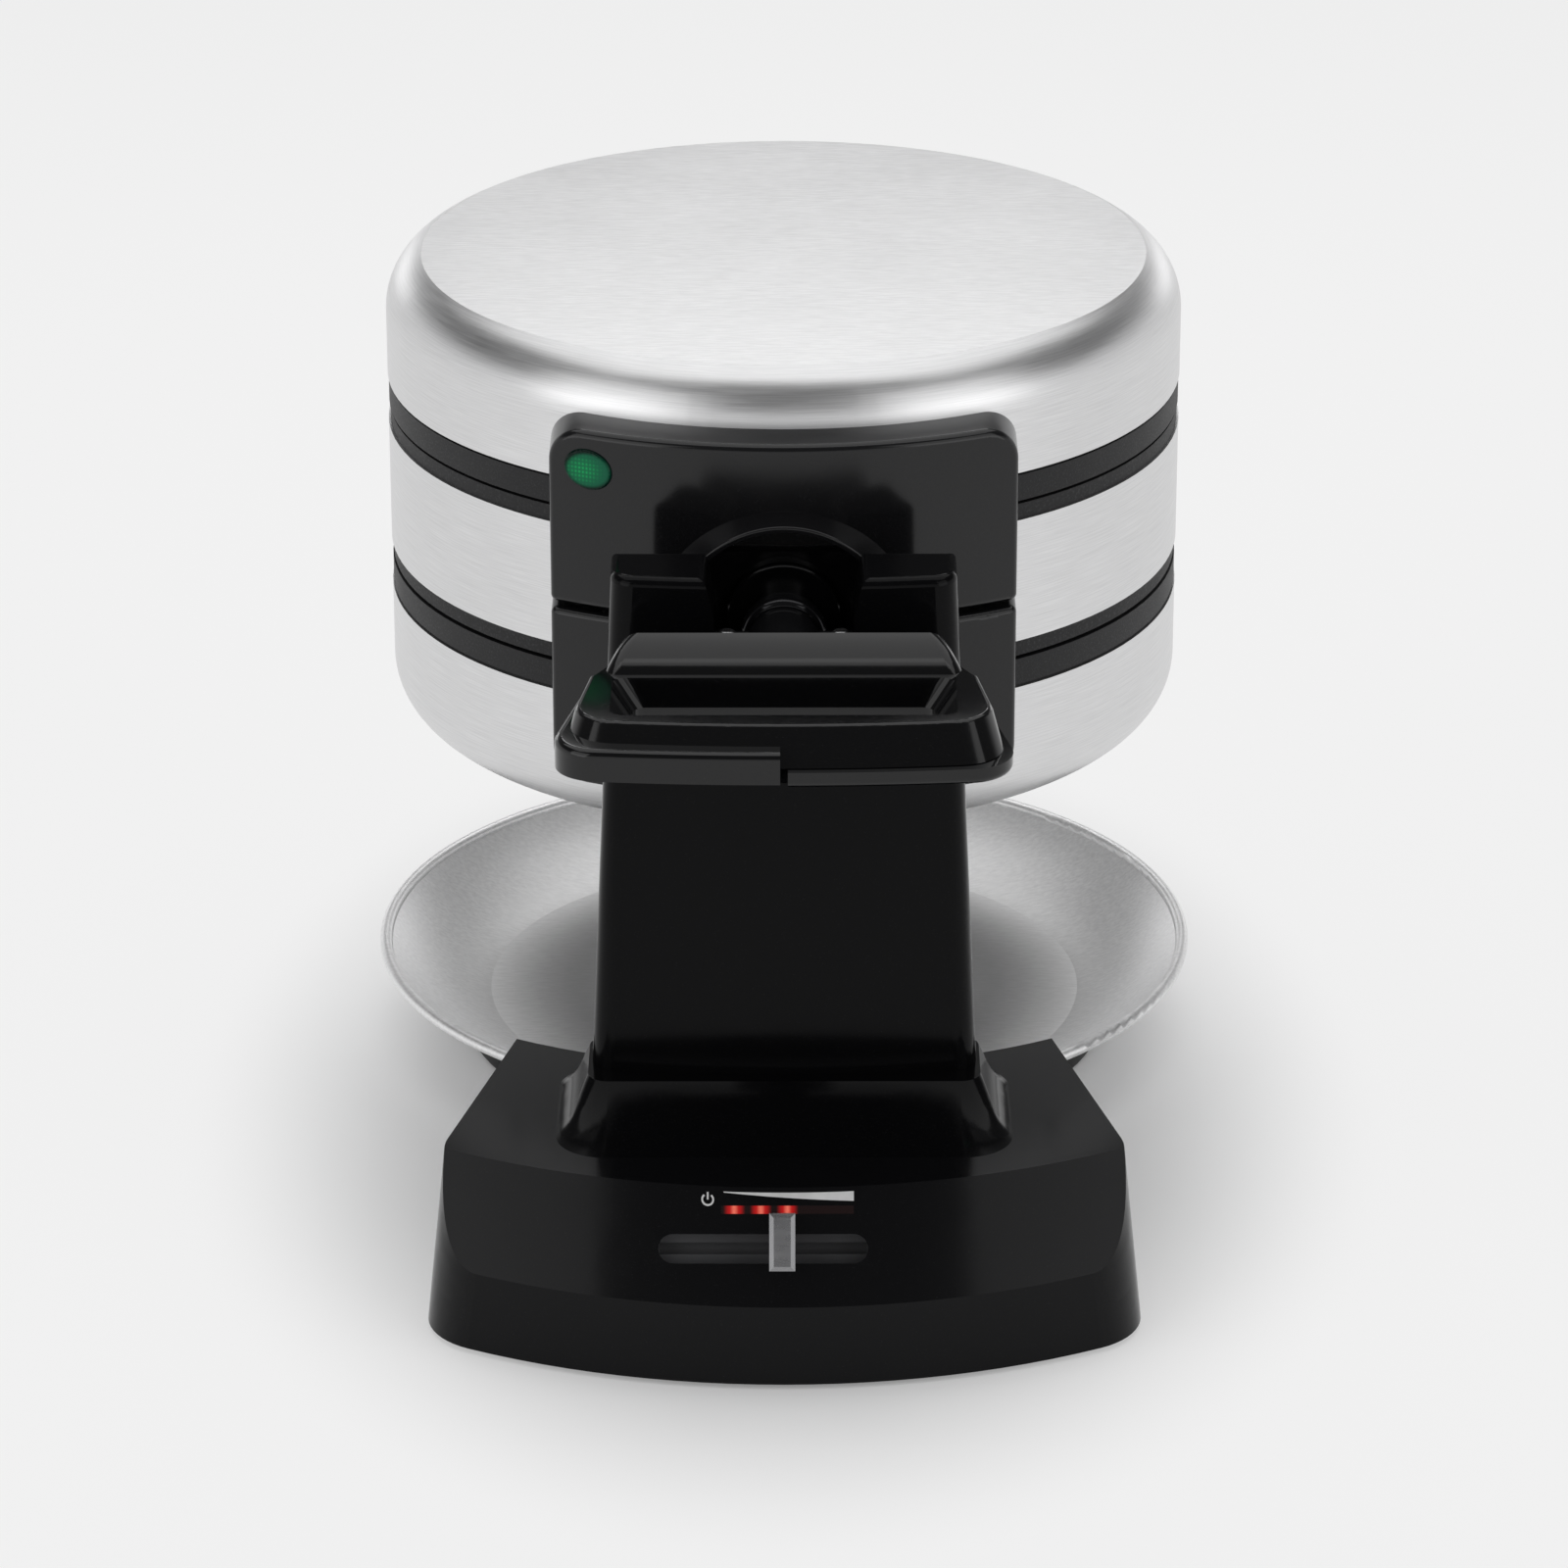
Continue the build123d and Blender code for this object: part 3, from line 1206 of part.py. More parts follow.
def save_lid(place, turn, cap):
    """Writes the pieces of one lid."""
    save(f"lid_cap_{place}", turn(cap), PIVOT_Z)
    save(f"lid_ring_{place}", turn(lid_ring()), PIVOT_Z)
    save(f"lid_grid_{place}", turn(lid_plate()), PIVOT_Z)
    save(f"lid_heater_{place}", turn(heater(LID_RIM + GRID_DEPTH + GRID_WALL + HEATER_TUBE_R)), PIVOT_Z)
    save(f"heat_shield_{place}", turn(heat_shield()), PIVOT_Z)
    save(f"front_plate_{place}", turn(front_plate()), PIVOT_Z)
    save(f"indicator_lens_{place}", turn(indicator_lens()), PIVOT_Z)
    save(f"hinge_arm_{place}", turn(hinge_arm()), PIVOT_Z)
    save(f"catch_springs_{place}", turn(catch_leaves()), PIVOT_Z)
    save(f"lid_screws_{place}", turn(plate_screws(LID_RIM, 1)), PIVOT_Z)


def save_middle(place, turn):
    """Writes one side's pieces of the centre housing."""
    height = MIDDLE_RIM - GRID_DEPTH - GRID_WALL - HEATER_TUBE_R
    save(f"middle_ring_{place}", turn(middle_ring()), PIVOT_Z)
    save(f"middle_grid_{place}", turn(middle_plate()), PIVOT_Z)
    save(f"middle_heater_{place}", turn(heater(height)), PIVOT_Z)


def save_rotor():
    """Writes the rest of what turns with the handle."""
    screws = plate_screws(MIDDLE_RIM, -1)
    ceiling = MIDDLE_RIM - GRID_DEPTH - GRID_WALL
    save("middle_band", middle_band(), PIVOT_Z)
    save("middle_screws", screws + turned_over(screws), PIVOT_Z)
    save("thermostat", bar_z(THERMOSTAT_R, ceiling - 6, ceiling), PIVOT_Z)
    save("hub_flange", hub_flange(), PIVOT_Z)
    save("pivot_shaft", pivot_shaft(), PIVOT_Z)
    save("shaft_nut", shaft_nut(), PIVOT_Z)
    save("retaining_clip", retaining_clip(), PIVOT_Z)
    save("stop_pin", stop_pin(), PIVOT_Z)
    save("catch_strikes", catch_strikes(), PIVOT_Z)
    save("hinge_bracket", hinge_bracket(), PIVOT_Z)
    save("hinge_pins", hinge_pins(), PIVOT_Z)
    save("handle_upper", handle_upper(), PIVOT_Z)
    save("handle_lower", handle_lower(), PIVOT_Z)
    save("handle_screws", handle_screws(), PIVOT_Z)


def save_base():
    """Writes the pieces of the base, the column and what stands on them."""
    save("bearing_block", bearing_block(), PIVOT_Z)
    save("bearing_cap", bearing_cap(), PIVOT_Z)
    save("bearing_bush", bearing_bush(), PIVOT_Z)
    save("bearing_screws", bearing_screws(), PIVOT_Z)
    save("stop_ring", stop_ring(), PIVOT_Z)
    save("column_shell", column_shell(), 0)
    save("column_back_cover", column_back_cover(), 0)
    save("base_housing", base_housing(), 0)
    save("base_bottom_plate", base_bottom_plate(), 0)
    save("base_screws", base_screws() + column_screws(), 0)
    save("rubber_feet", rubber_feet(), 0)
    save("control_board", control_board(), 0)
    save("slide_potentiometer", slide_potentiometer(), 0)
    save("indicator_strip", indicator_strip(), 0)
    save("indicator_leds", indicator_leds(), 0)
    save("cord_inlet", cord_inlet(), 0)
    save("terminal_block", terminal_block(), 0)
    save("slider_knob", slider_knob(), 0)
    save("drip_tray", drip_tray(), 0)


os.makedirs("parts", exist_ok=True)
save_lid("upper", lambda shape: shape, lid_cap())
save_lid("lower", turned_over, vented_cap())
save_middle("upper", lambda shape: shape)
save_middle("lower", turned_over)
save_rotor()
save_base()
print("frame shift", FRAME_SHIFT, "slider range", SLOT_X - knob_travel() - KNOB_X, SLOT_X + knob_travel() - KNOB_X)
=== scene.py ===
"""The looks of a double flip waffle maker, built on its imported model.

Every length is in metres, in the model's own frame: Z up, the handle towards -Y and the table at
height zero. The parts of a colour are linear, from 0 to 1.
"""

from __future__ import annotations

import logging
import math
from dataclasses import dataclass
from enum import Enum
from typing import Any, Sequence, Union

import bmesh
import bpy
from mathutils import Matrix, Vector


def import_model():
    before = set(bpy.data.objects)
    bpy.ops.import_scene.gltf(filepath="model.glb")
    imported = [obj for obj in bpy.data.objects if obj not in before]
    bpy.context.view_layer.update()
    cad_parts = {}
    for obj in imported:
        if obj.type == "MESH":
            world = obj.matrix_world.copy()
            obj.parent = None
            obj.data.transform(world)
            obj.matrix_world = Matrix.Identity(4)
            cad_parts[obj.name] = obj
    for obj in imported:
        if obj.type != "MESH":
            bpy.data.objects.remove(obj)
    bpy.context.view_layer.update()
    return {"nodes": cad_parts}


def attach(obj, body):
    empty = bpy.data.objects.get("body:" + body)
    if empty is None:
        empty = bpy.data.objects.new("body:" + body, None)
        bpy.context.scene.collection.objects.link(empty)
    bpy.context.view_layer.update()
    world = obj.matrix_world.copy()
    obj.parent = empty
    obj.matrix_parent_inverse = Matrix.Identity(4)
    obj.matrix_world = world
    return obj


LOG = logging.getLogger("waffle_maker")

COOKER_Y = 0.0489568  # the drum's axis
COOKER_R = 0.1162  # the drum's radius
PIVOT_Z = 0.181  # the height of the shaft that the drum turns on
TRAY_Y = 0.0569568  # the drip tray's axis
BASE_REACH = 0.238  # how far the facet's foot is in front of the drum's axis

Colour = tuple[float, float, float]
Point = tuple[float, float, float]
Span = tuple[float, float]
Value = Union["Port", float, int]

WHITE: Colour = (1.0, 1.0, 1.0)
NOISE_MIDDLE = 0.5  # the value that a noise varies about


class Port:
    """A node's output that works in arithmetic and adds the Math nodes that this needs."""

    def __init__(self, bench: Bench, socket: bpy.types.NodeSocket) -> None:
        """Keeps the socket and the bench that it is on.

        Args:
            bench: The bench whose node tree the socket belongs to.
            socket: The output socket.
        """
        self.bench = bench
        self.socket = socket

    def __add__(self, other: Value) -> Port:
        """Adds."""
        return self.bench.math("ADD", self, other)

    def __radd__(self, other: Value) -> Port:
        """Adds, with the number first."""
        return self.bench.math("ADD", other, self)

    def __sub__(self, other: Value) -> Port:
        """Subtracts."""
        return self.bench.math("SUBTRACT", self, other)

    def __rsub__(self, other: Value) -> Port:
        """Subtracts from a number."""
        return self.bench.math("SUBTRACT", other, self)

    def __mul__(self, other: Value) -> Port:
        """Multiplies."""
        return self.bench.math("MULTIPLY", self, other)

    def __rmul__(self, other: Value) -> Port:
        """Multiplies, with the number first."""
        return self.bench.math("MULTIPLY", other, self)

    def __truediv__(self, other: Value) -> Port:
        """Divides."""
        return self.bench.math("DIVIDE", self, other)

    def __rtruediv__(self, other: Value) -> Port:
        """Divides a number."""
        return self.bench.math("DIVIDE", other, self)

    def __abs__(self) -> Port:
        """The value without its sign."""
        return self.bench.math("ABSOLUTE", self)


@dataclass(frozen=True)
class Grain:
    """A noise: how fine it is, how many finer layers it has and how strong these are."""

    scale: float
    detail: float = 2.0
    roughness: float = 0.5


class Bench:
    """A material or a world under construction: its shader, and the ways to add nodes to it."""

    # The sockets that a Mix node uses for colours
    MIX_FIRST = 6
    MIX_SECOND = 7
    MIX_COLOUR = 2

    def __init__(
        self, owner: bpy.types.Material | bpy.types.World, shader: str = "Principled BSDF"
    ) -> None:
        """Takes up the owner's nodes.

        Args:
            owner: The new material or world.
            shader: The name of the shader that it starts with.
        """
        owner.use_nodes = True
        self.tree = owner.node_tree
        self.surface = self.tree.nodes[shader]

    def node(
        self,
        kind: str,
        settings: dict[str, Any] | None = None,
        sockets: dict[Any, Any] | None = None,
    ) -> bpy.types.Node:
        """Adds a node.

        Args:
            kind: The node's type, such as ShaderNodeTexNoise.
            settings: Its properties by name. A ramp's stops, under "stops", are pairs of place
                and colour.
            sockets: A value or a link for each input, by name or number.

        Returns:
            The new node.
        """
        made = self.tree.nodes.new(kind)
        for key, value in (settings or {}).items():
            if key == "stops":
                self._set_stops(made, value)
            else:
                setattr(made, key, value)
        for key, value in (sockets or {}).items():
            self.feed(made.inputs[key], value)
        return made

    def feed(self, socket: bpy.types.NodeSocket, value: Any) -> None:
        """Links a port to an input, or sets the input's own value.

        Args:
            socket: The input.
            value: A port, a number or a sequence of numbers.
        """
        if isinstance(value, Port):
            self.tree.links.new(value.socket, socket)
        else:
            socket.default_value = value

    def put(self, socket: str, value: Any) -> None:
        """Sets or links an input of the shader."""
        self.feed(self.surface.inputs[socket], value)

    def port(self, made: bpy.types.Node, output: str | int = 0) -> Port:
        """The port of a node's output."""
        return Port(self, made.outputs[output])

    def math(self, operation: str, *values: Value) -> Port:
        """Adds a Math node.

        Args:
            operation: What it does, such as ADD.
            values: Its inputs in order.

        Returns:
            Its result.
        """
        sockets = dict(enumerate(values))
        return self.port(self.node("ShaderNodeMath", {"operation": operation}, sockets))

    def place(self) -> Port:
        """A point's place in the model's own frame."""
        return self.port(self.node("ShaderNodeTexCoord"), "Object")

    def seen(self) -> Port:
        """Tells what is looked at from what only lights the object.

        Returns:
            One for the camera, for reflections and through clear plastic, and otherwise zero.
        """
        path = self.node("ShaderNodeLightPath")
        camera, glossy = self.port(path, "Is Camera Ray"), self.port(path, "Is Glossy Ray")
        shown = self.math("MAXIMUM", camera, glossy)
        return self.math("MAXIMUM", shown, self.port(path, "Is Transmission Ray"))

    def split(self, vector: Port) -> tuple[Port, Port, Port]:
        """The three parts of a vector."""
        made = self.node("ShaderNodeSeparateXYZ", None, {0: vector})
        return self.port(made, 0), self.port(made, 1), self.port(made, 2)

    def join(self, x: Value, y: Value, z: Value) -> Port:
        """A vector of three parts."""
        return self.port(self.node("ShaderNodeCombineXYZ", None, {0: x, 1: y, 2: z}))

    def radius(self, x: Port, y: Port) -> Port:
        """How far a point of a plane is from its middle."""
        return self.math("SQRT", x * x + y * y)

    def wave(self, value: Port) -> Port:
        """A sine wave that runs from 0 to 1."""
        return self.math("SINE", value) * 0.5 + 0.5

    def noise(self, vector: Port, grain: Grain) -> Port:
        """A noise from about 0 to 1.

        Args:
            vector: Where it is read.
            grain: How fine and how rough it is.

        Returns:
            The noise's value.
        """
        sockets = {
            "Vector": vector,
            "Scale": grain.scale,
            "Detail": grain.detail,
            "Roughness": grain.roughness,
        }
        return self.port(self.node("ShaderNodeTexNoise", None, sockets), 0)

    def step(self, value: Port, low: float, high: float) -> Port:
        """A smooth rise from 0 to 1.

        Args:
            value: What it follows.
            low: The value where it is 0.
            high: The value where it is 1.

        Returns:
            The rise.
        """
        settings = {"interpolation_type": "SMOOTHSTEP"}
        sockets = {0: value, 1: low, 2: high, 3: 0.0, 4: 1.0}
        return self.port(self.node("ShaderNodeMapRange", settings, sockets))

    def blend(self, share: Value, first: Colour | Port, second: Colour | Port) -> Port:
        """A colour between two.

        Args:
            share: 0 for the first, 1 for the second.
            first: A colour or a port.
            second: A colour or a port.

        Returns:
            The mixed colour.
        """
        made = self.node("ShaderNodeMix", {"data_type": "RGBA"}, {0: share})
        for number, colour in ((self.MIX_FIRST, first), (self.MIX_SECOND, second)):
            self.feed(made.inputs[number], colour if isinstance(colour, Port) else opaque(colour))
        return self.port(made, self.MIX_COLOUR)

    def relief(self, height: Port, depth: float, strength: float) -> None:
        """Feeds a bump to the surface.

        Args:
            height: The relief, from 0 to 1.
            depth: How deep it is in metres.
            strength: How much of it shows.
        """
        sockets = {"Strength": strength, "Distance": depth, "Height": height}
        self.put("Normal", self.port(self.node("ShaderNodeBump", None, sockets)))

    @staticmethod
    def _set_stops(made: bpy.types.Node, stops: Sequence[tuple[float, Colour]]) -> None:
        """Gives a colour ramp its stops.

        Args:
            made: The ramp's node.
            stops: The place and the colour of each.
        """
        elements = made.color_ramp.elements
        while len(elements) > 1:
            elements.remove(elements[-1])
        for count, (position, colour) in enumerate(stops):
            element = elements[0] if count == 0 else elements.new(position)
            element.position = position
            element.color = opaque(colour)


def opaque(colour: Colour) -> tuple[float, float, float, float]:
    """A colour with its full alpha."""
    return (*colour, 1.0)


def shade_of(colour: Colour, factor: float) -> Colour:
    """A colour made lighter or darker.

    Args:
        colour: The colour.
        factor: What each part is multiplied by.

    Returns:
        The new colour, none of its parts above 1.
    """
    return tuple(min(1.0, part * factor) for part in colour)


class Lay(Enum):
    """Which way the brushing of a steel sheet runs."""

    ACROSS = "across"
    ROUND = "round"
    DRAWN = "across its disc and round its wall"


@dataclass(frozen=True)
class Finish:
    """What all finishes have.

    In every finish, shades are the factors of its darkest and lightest colour, relief is the
    depth in metres and the strength of its bump, and a field that ends in rough is how much its
    subject changes the roughness.
    """

    name: str
    colour: Colour
    roughness: float

    def build(self) -> bpy.types.Material:
        """Makes the material.

        Returns:
            The material.
        """
        material = bpy.data.materials.new(self.name)
        bench = Bench(material)
        bench.put("Base Color", opaque(self.colour))
        bench.put("Roughness", self.roughness)
        self.shade(bench)
        return material

    def shade(self, bench: Bench) -> None:
        """Adds what varies over the surface."""
        raise NotImplementedError

    def between(self, bench: Bench, share: Value, shades: Span) -> Port:
        """The finish's colour between two of its shades.

        Args:
            bench: The material's bench.
            share: 0 for the first shade, 1 for the second.
            shades: The factors of both.

        Returns:
            The mixed colour.
        """
        first, second = (shade_of(self.colour, factor) for factor in shades)
        return bench.blend(share, first, second)


@dataclass(frozen=True)
class BrushedSteel(Finish):
    """Stainless sheet with fine brushing and soft blotches, and a floor with painted shade if it
    has one.
    """

    lay: Lay = Lay.DRAWN
    axis_y: float = COOKER_Y
    streak_length: float = 0.0065
    streak_width: float = 0.0006
    round_fineness: Span = (0.35, 2.0)
    brushing: Grain = Grain(1.0, 3.0, 0.6)
    blotch: Grain = Grain(26.0, 3.0, 0.55)
    disc_edge: Span = (0.1055, 0.1065)
    contrast: float = 0.26
    spread: float = 0.62
    blotch_light: float = 0.05
    shades: Span = (0.8, 1.18)
    streak_rough: float = 0.16
    blotch_rough: float = 0.06
    # Painted shade: with a radius set, the floor's colour darkens towards its middle. This stands
    # in for the drum's shade and its dark reflection.
    shaded_floor_radius: float = 0.0
    shaded_floor_from: float = 0.55
    floor_shade_factor: float = 0.24
    relief: Span = (0.00002, 0.5)

    def shade(self, bench: Bench) -> None:
        """Adds the brushing, the blotches and the painted shade on the floor.

        Args:
            bench: The material's bench.
        """
        place = bench.place()
        x, y, z = bench.split(place)
        off = y - self.axis_y
        brushing = self.brush(bench, x, off, z)
        streak = brushing - NOISE_MIDDLE
        blotch = bench.noise(place, self.blotch) - NOISE_MIDDLE
        limit = self.contrast * self.spread
        light = bench.step(streak * self.contrast + blotch * self.blotch_light, -limit, limit)
        colour = self.between(bench, light, self.shades)
        # Painted shade: darkens the floor towards its middle, where the drum above shades it and is
        # reflected in it.
        if self.shaded_floor_radius:
            inner = self.shaded_floor_radius * self.shaded_floor_from
            floor_shade_share = 1.0 - bench.step(bench.radius(x, off), inner, self.shaded_floor_radius)
            dark, pale = self.shades
            painted_floor_shade = self.between(bench, light, (dark * self.floor_shade_factor, pale * self.floor_shade_factor))
            colour = bench.blend(floor_shade_share, colour, painted_floor_shade)
        rough = streak * self.streak_rough + blotch * self.blotch_rough + self.roughness
        bench.put("Metallic", 1.0)
        bench.put("Base Color", colour)
        bench.put("Roughness", rough)
        bench.relief(brushing, *self.relief)

    def brush(self, bench: Bench, x: Port, off: Port, z: Port) -> Port:
        """The brushing of this lay.

        Args:
            bench: The material's bench.
            x: The point's place along X.
            off: How far it is from the axis along Y.
            z: Its height.

        Returns:
            The brushing's height.
        """
        if self.lay is Lay.ACROSS:
            return self.brush_across(bench, x, off, z)
        around = self.brush_around(bench, x, off, z)
        if self.lay is Lay.ROUND:
            return around
        across = self.brush_across(bench, x, off, z)
        return across + (around - across) * bench.step(bench.radius(x, off), *self.disc_edge)

    def brush_across(self, bench: Bench, x: Port, off: Port, z: Port) -> Port:
        """Brushing along X, as brush_around takes and returns it."""
        along, thin = 1 / self.streak_length, 1 / self.streak_width
        return bench.noise(bench.join(x * along, off * thin, z * thin), self.brushing)

    def brush_around(self, bench: Bench, x: Port, off: Port, z: Port) -> Port:
        """Brushing round the axis, in longer and narrower streaks.

        Args:
            bench: The material's bench.
            x: The point's place along X.
            off: How far it is from the axis along Y.
            z: Its height.

        Returns:
            The brushing's height.
        """
        along = self.round_fineness[0] / self.streak_length
        thin = self.round_fineness[1] / self.streak_width
        arc = bench.math("ARCTAN2", x, off * -1.0) * COOKER_R
        return bench.noise(bench.join(arc * along, z * thin, 0.0), self.brushing)


@dataclass(frozen=True)
class GlossPlastic(Finish):
    """Moulded plastic with a polished face, a faint ripple, wiped patches of less gloss and a
    little dust.
    """

    specular: float = 0.4
    wiped: Grain = Grain(38.0, 4.0, 0.6)
    wiped_rough: float = 0.07
    speck: Grain = Grain(2600.0, 1.0)
    dusty: Span = (0.66, 0.74)
    dust_colour: Colour = (0.035, 0.035, 0.037)
    dust_share: float = 0.25
    dust_rough: float = 0.06
    ripple: Grain = Grain(240.0, 1.0)
    relief: Span = (0.00001, 0.35)

    def shade(self, bench: Bench) -> None:
        """Adds the ripple, the wiped patches of less gloss and the dust.

        Args:
            bench: The material's bench.
        """
        place = bench.place()
        wiped = bench.noise(place, self.wiped)
        dust = bench.step(bench.noise(place, self.speck), *self.dusty)
        polish = self.roughness - NOISE_MIDDLE * self.wiped_rough
        bench.put("Specular IOR Level", self.specular)
        bench.put("Base Color", bench.blend(dust * self.dust_share, self.colour, self.dust_colour))
        bench.put("Roughness", wiped * self.wiped_rough + dust * self.dust_rough + polish)
        bench.relief(bench.noise(place, self.ripple), *self.relief)


@dataclass(frozen=True)
class GrainedPlastic(Finish):
    """Heat resistant plastic with a spark eroded grain."""

    specular: float = 0.35
    grain: Grain = Grain(1900.0, 2.0, 0.6)
    peaks: Span = (0.5, 0.72)
    peak_light: float = 0.7
    peak_rough: float = -0.12
    patch: Grain = Grain(45.0, 3.0)
    patch_light: float = 0.2
    patch_rough: float = 0.1
    shades: Span = (0.7, 2.0)
    relief: Span = (0.00006, 0.6)

    def shade(self, bench: Bench) -> None:
        """Adds the grain and its lighter peaks.

        Args:
            bench: The material's bench.
        """
        place = bench.place()
        grain = bench.noise(place, self.grain)
        patch = bench.noise(place, self.patch)
        peak = bench.step(grain, *self.peaks)
        light = peak * self.peak_light + patch * self.patch_light
        rough = peak * self.peak_rough + patch * self.patch_rough + self.roughness
        bench.put("Specular IOR Level", self.specular)
        bench.put("Base Color", self.between(bench, light, self.shades))
        bench.put("Roughness", rough)
        bench.relief(grain, *self.relief)


@dataclass(frozen=True)
class CoatedCasting(Finish):
    """Cast aluminium under a dark non-stick coating with metallic flecks and a trace of oil."""

    metallic: float = 0.1
    fleck: Grain = Grain(3000.0, 1.0)
    flecked: Span = (0.64, 0.72)
    fleck_colour: Colour = (0.16, 0.16, 0.165)
    fleck_share: float = 0.6
    fleck_metallic: float = 0.5
    fleck_rough: float = 0.05
    oil: Grain = Grain(30.0, 4.0)
    oiled: Span = (0.42, 0.62)
    oil_rough: float = -0.16
    casting: Grain = Grain(900.0, 3.0)
    relief: Span = (0.00005, 0.5)

    def shade(self, bench: Bench) -> None:
        """Adds the flecks, the cast surface and the smoother oiled patches.

        Args:
            bench: The material's bench.
        """
        place = bench.place()
        fleck = bench.step(bench.noise(place, self.fleck), *self.flecked)
        oiled = bench.step(bench.noise(place, self.oil), *self.oiled)
        colour = bench.blend(fleck * self.fleck_share, self.colour, self.fleck_colour)
        rough = oiled * self.oil_rough + self.roughness + fleck * self.fleck_rough
        bench.put("Metallic", fleck * self.fleck_metallic + self.metallic)
        bench.put("Base Color", colour)
        bench.put("Roughness", rough)
        bench.relief(bench.noise(place, self.casting), *self.relief)


@dataclass(frozen=True)
class WorkedMetal(Finish):
    """Turned, pressed or plated metal with fine tool marks and a little tarnish."""

    metallic: float = 1.0
    marks: Grain = Grain(1600.0, 2.0)
    stretch: float = 0.12
    mark_rough: float = 0.14
    tarnish: Grain = Grain(70.0, 4.0)
    tarnish_rough: float = 0.08
    shades: Span = (0.78, 1.15)
    relief: Span = (0.00001, 0.5)

    def shade(self, bench: Bench) -> None:
        """Adds the tool marks and the tarnish.

        Args:
            bench: The material's bench.
        """
        place = bench.place()
        x, y, z = bench.split(place)
        marks = bench.noise(bench.join(x * self.stretch, y, z * self.stretch), self.marks)
        tarnish = bench.noise(place, self.tarnish)
        polish = self.roughness - NOISE_MIDDLE * self.tarnish_rough
        scored = (marks - NOISE_MIDDLE) * self.mark_rough
        bench.put("Metallic", self.metallic)
        bench.put("Base Color", self.between(bench, tarnish, self.shades))
        bench.put("Roughness", scored + tarnish * self.tarnish_rough + polish)
        bench.relief(marks, *self.relief)


@dataclass(frozen=True)
class HeatedSteel(Finish):
    """The element's tube, with straw and blue heat colours."""

    metallic: float = 0.85
    stain: Grain = Grain(34.0, 3.0)
    stain_rough: float = 0.2
    stops: tuple[tuple[float, Colour], ...] = (
        (0.3, (0.16, 0.13, 0.1)),
        (0.5, (0.24, 0.2, 0.15)),
        (0.62, (0.13, 0.13, 0.17)),
    )
    scale: Grain = Grain(1400.0, 2.0)
    relief: Span = (0.00002, 0.5)

    def shade(self, bench: Bench) -> None:
        """Adds the heat colours and the scale.

        Args:
            bench: The material's bench.
        """
        place = bench.place()
        stain = bench.noise(place, self.stain)
        ramp = bench.node("ShaderNodeValToRGB", {"stops": self.stops}, {0: stain})
        bench.put("Metallic", self.metallic)
        bench.put("Base Color", bench.port(ramp))
        bench.put("Roughness", stain * self.stain_rough + self.roughness)
        bench.relief(bench.noise(place, self.scale), *self.relief)


@dataclass(frozen=True)
class FootRubber(Finish):
    """Moulded rubber, matt with a dusty bloom."""

    bloom: Grain = Grain(120.0, 4.0)
    bloom_rough: float = 0.15
    shades: Span = (0.7, 1.7)
    grain: Grain = Grain(2200.0, 2.0)
    relief: Span = (0.00005, 0.5)

    def shade(self, bench: Bench) -> None:
        """Adds the bloom and the grain.

        Args:
            bench: The material's bench.
        """
        place = bench.place()
        bloom = bench.noise(place, self.bloom)
        bench.put("Base Color", self.between(bench, bloom, self.shades))
        bench.put("Roughness", bloom * self.bloom_rough + self.roughness)
        bench.relief(bench.noise(place, self.grain), *self.relief)


@dataclass(frozen=True)
class LitLens(Finish):
    """The ready lamp's green lens: a fine grid in the plastic, bright inside, dark at its rim."""

    centre: Span = (0.0, 0.0)
    half_size: Span = (0.0073, 0.0058)
    rim: Span = (0.7, 0.93)
    rim_shade: float = 0.1
    rim_glow: Colour = (0.0004, 0.004, 0.0035)
    lamp_left: float = 0.2
    lamp_fall: Span = (0.1, 0.9)
    cell: float = 0.0012
    cell_lean: float = 0.4
    cell_light: float = 0.8
    cell_rough: float = 0.1
    dim: Colour = (0.002, 0.055, 0.03)
    bright: Colour = (0.005, 0.28, 0.075)
    strength: float = 0.9
    specular: float = 0.12
    relief: Span = (0.00012, 0.6)

    def shade(self, bench: Bench) -> None:
        """Adds the grid and the lamp behind it.

        Args:
            bench: The material's bench.
        """
        x, y, z = bench.split(bench.place())
        u = (x - self.centre[0]) / self.half_size[0]
        v = (z - self.centre[1]) / self.half_size[1]
        rim = bench.step(bench.radius(u, v), *self.rim)
        lit = 1.0 - bench.step(bench.radius(u + self.lamp_left, v), *self.lamp_fall)
        turn = 2 * math.pi / self.cell
        cells = bench.wave((x - y * self.cell_lean) * turn) * bench.wave(z * turn)
        glow = lit * (cells * self.cell_light + (1.0 - self.cell_light))
        inner = bench.blend(glow, self.dim, self.bright)
        bench.put("Base Color", self.between(bench, rim, (1.0, self.rim_shade)))
        bench.put("Emission Color", bench.blend(rim, inner, self.rim_glow))
        bench.put("Emission Strength", self.strength)
        bench.put("Specular IOR Level", self.specular)
        bench.put("Roughness", cells * self.cell_rough + self.roughness)
        bench.relief(cells, *self.relief)


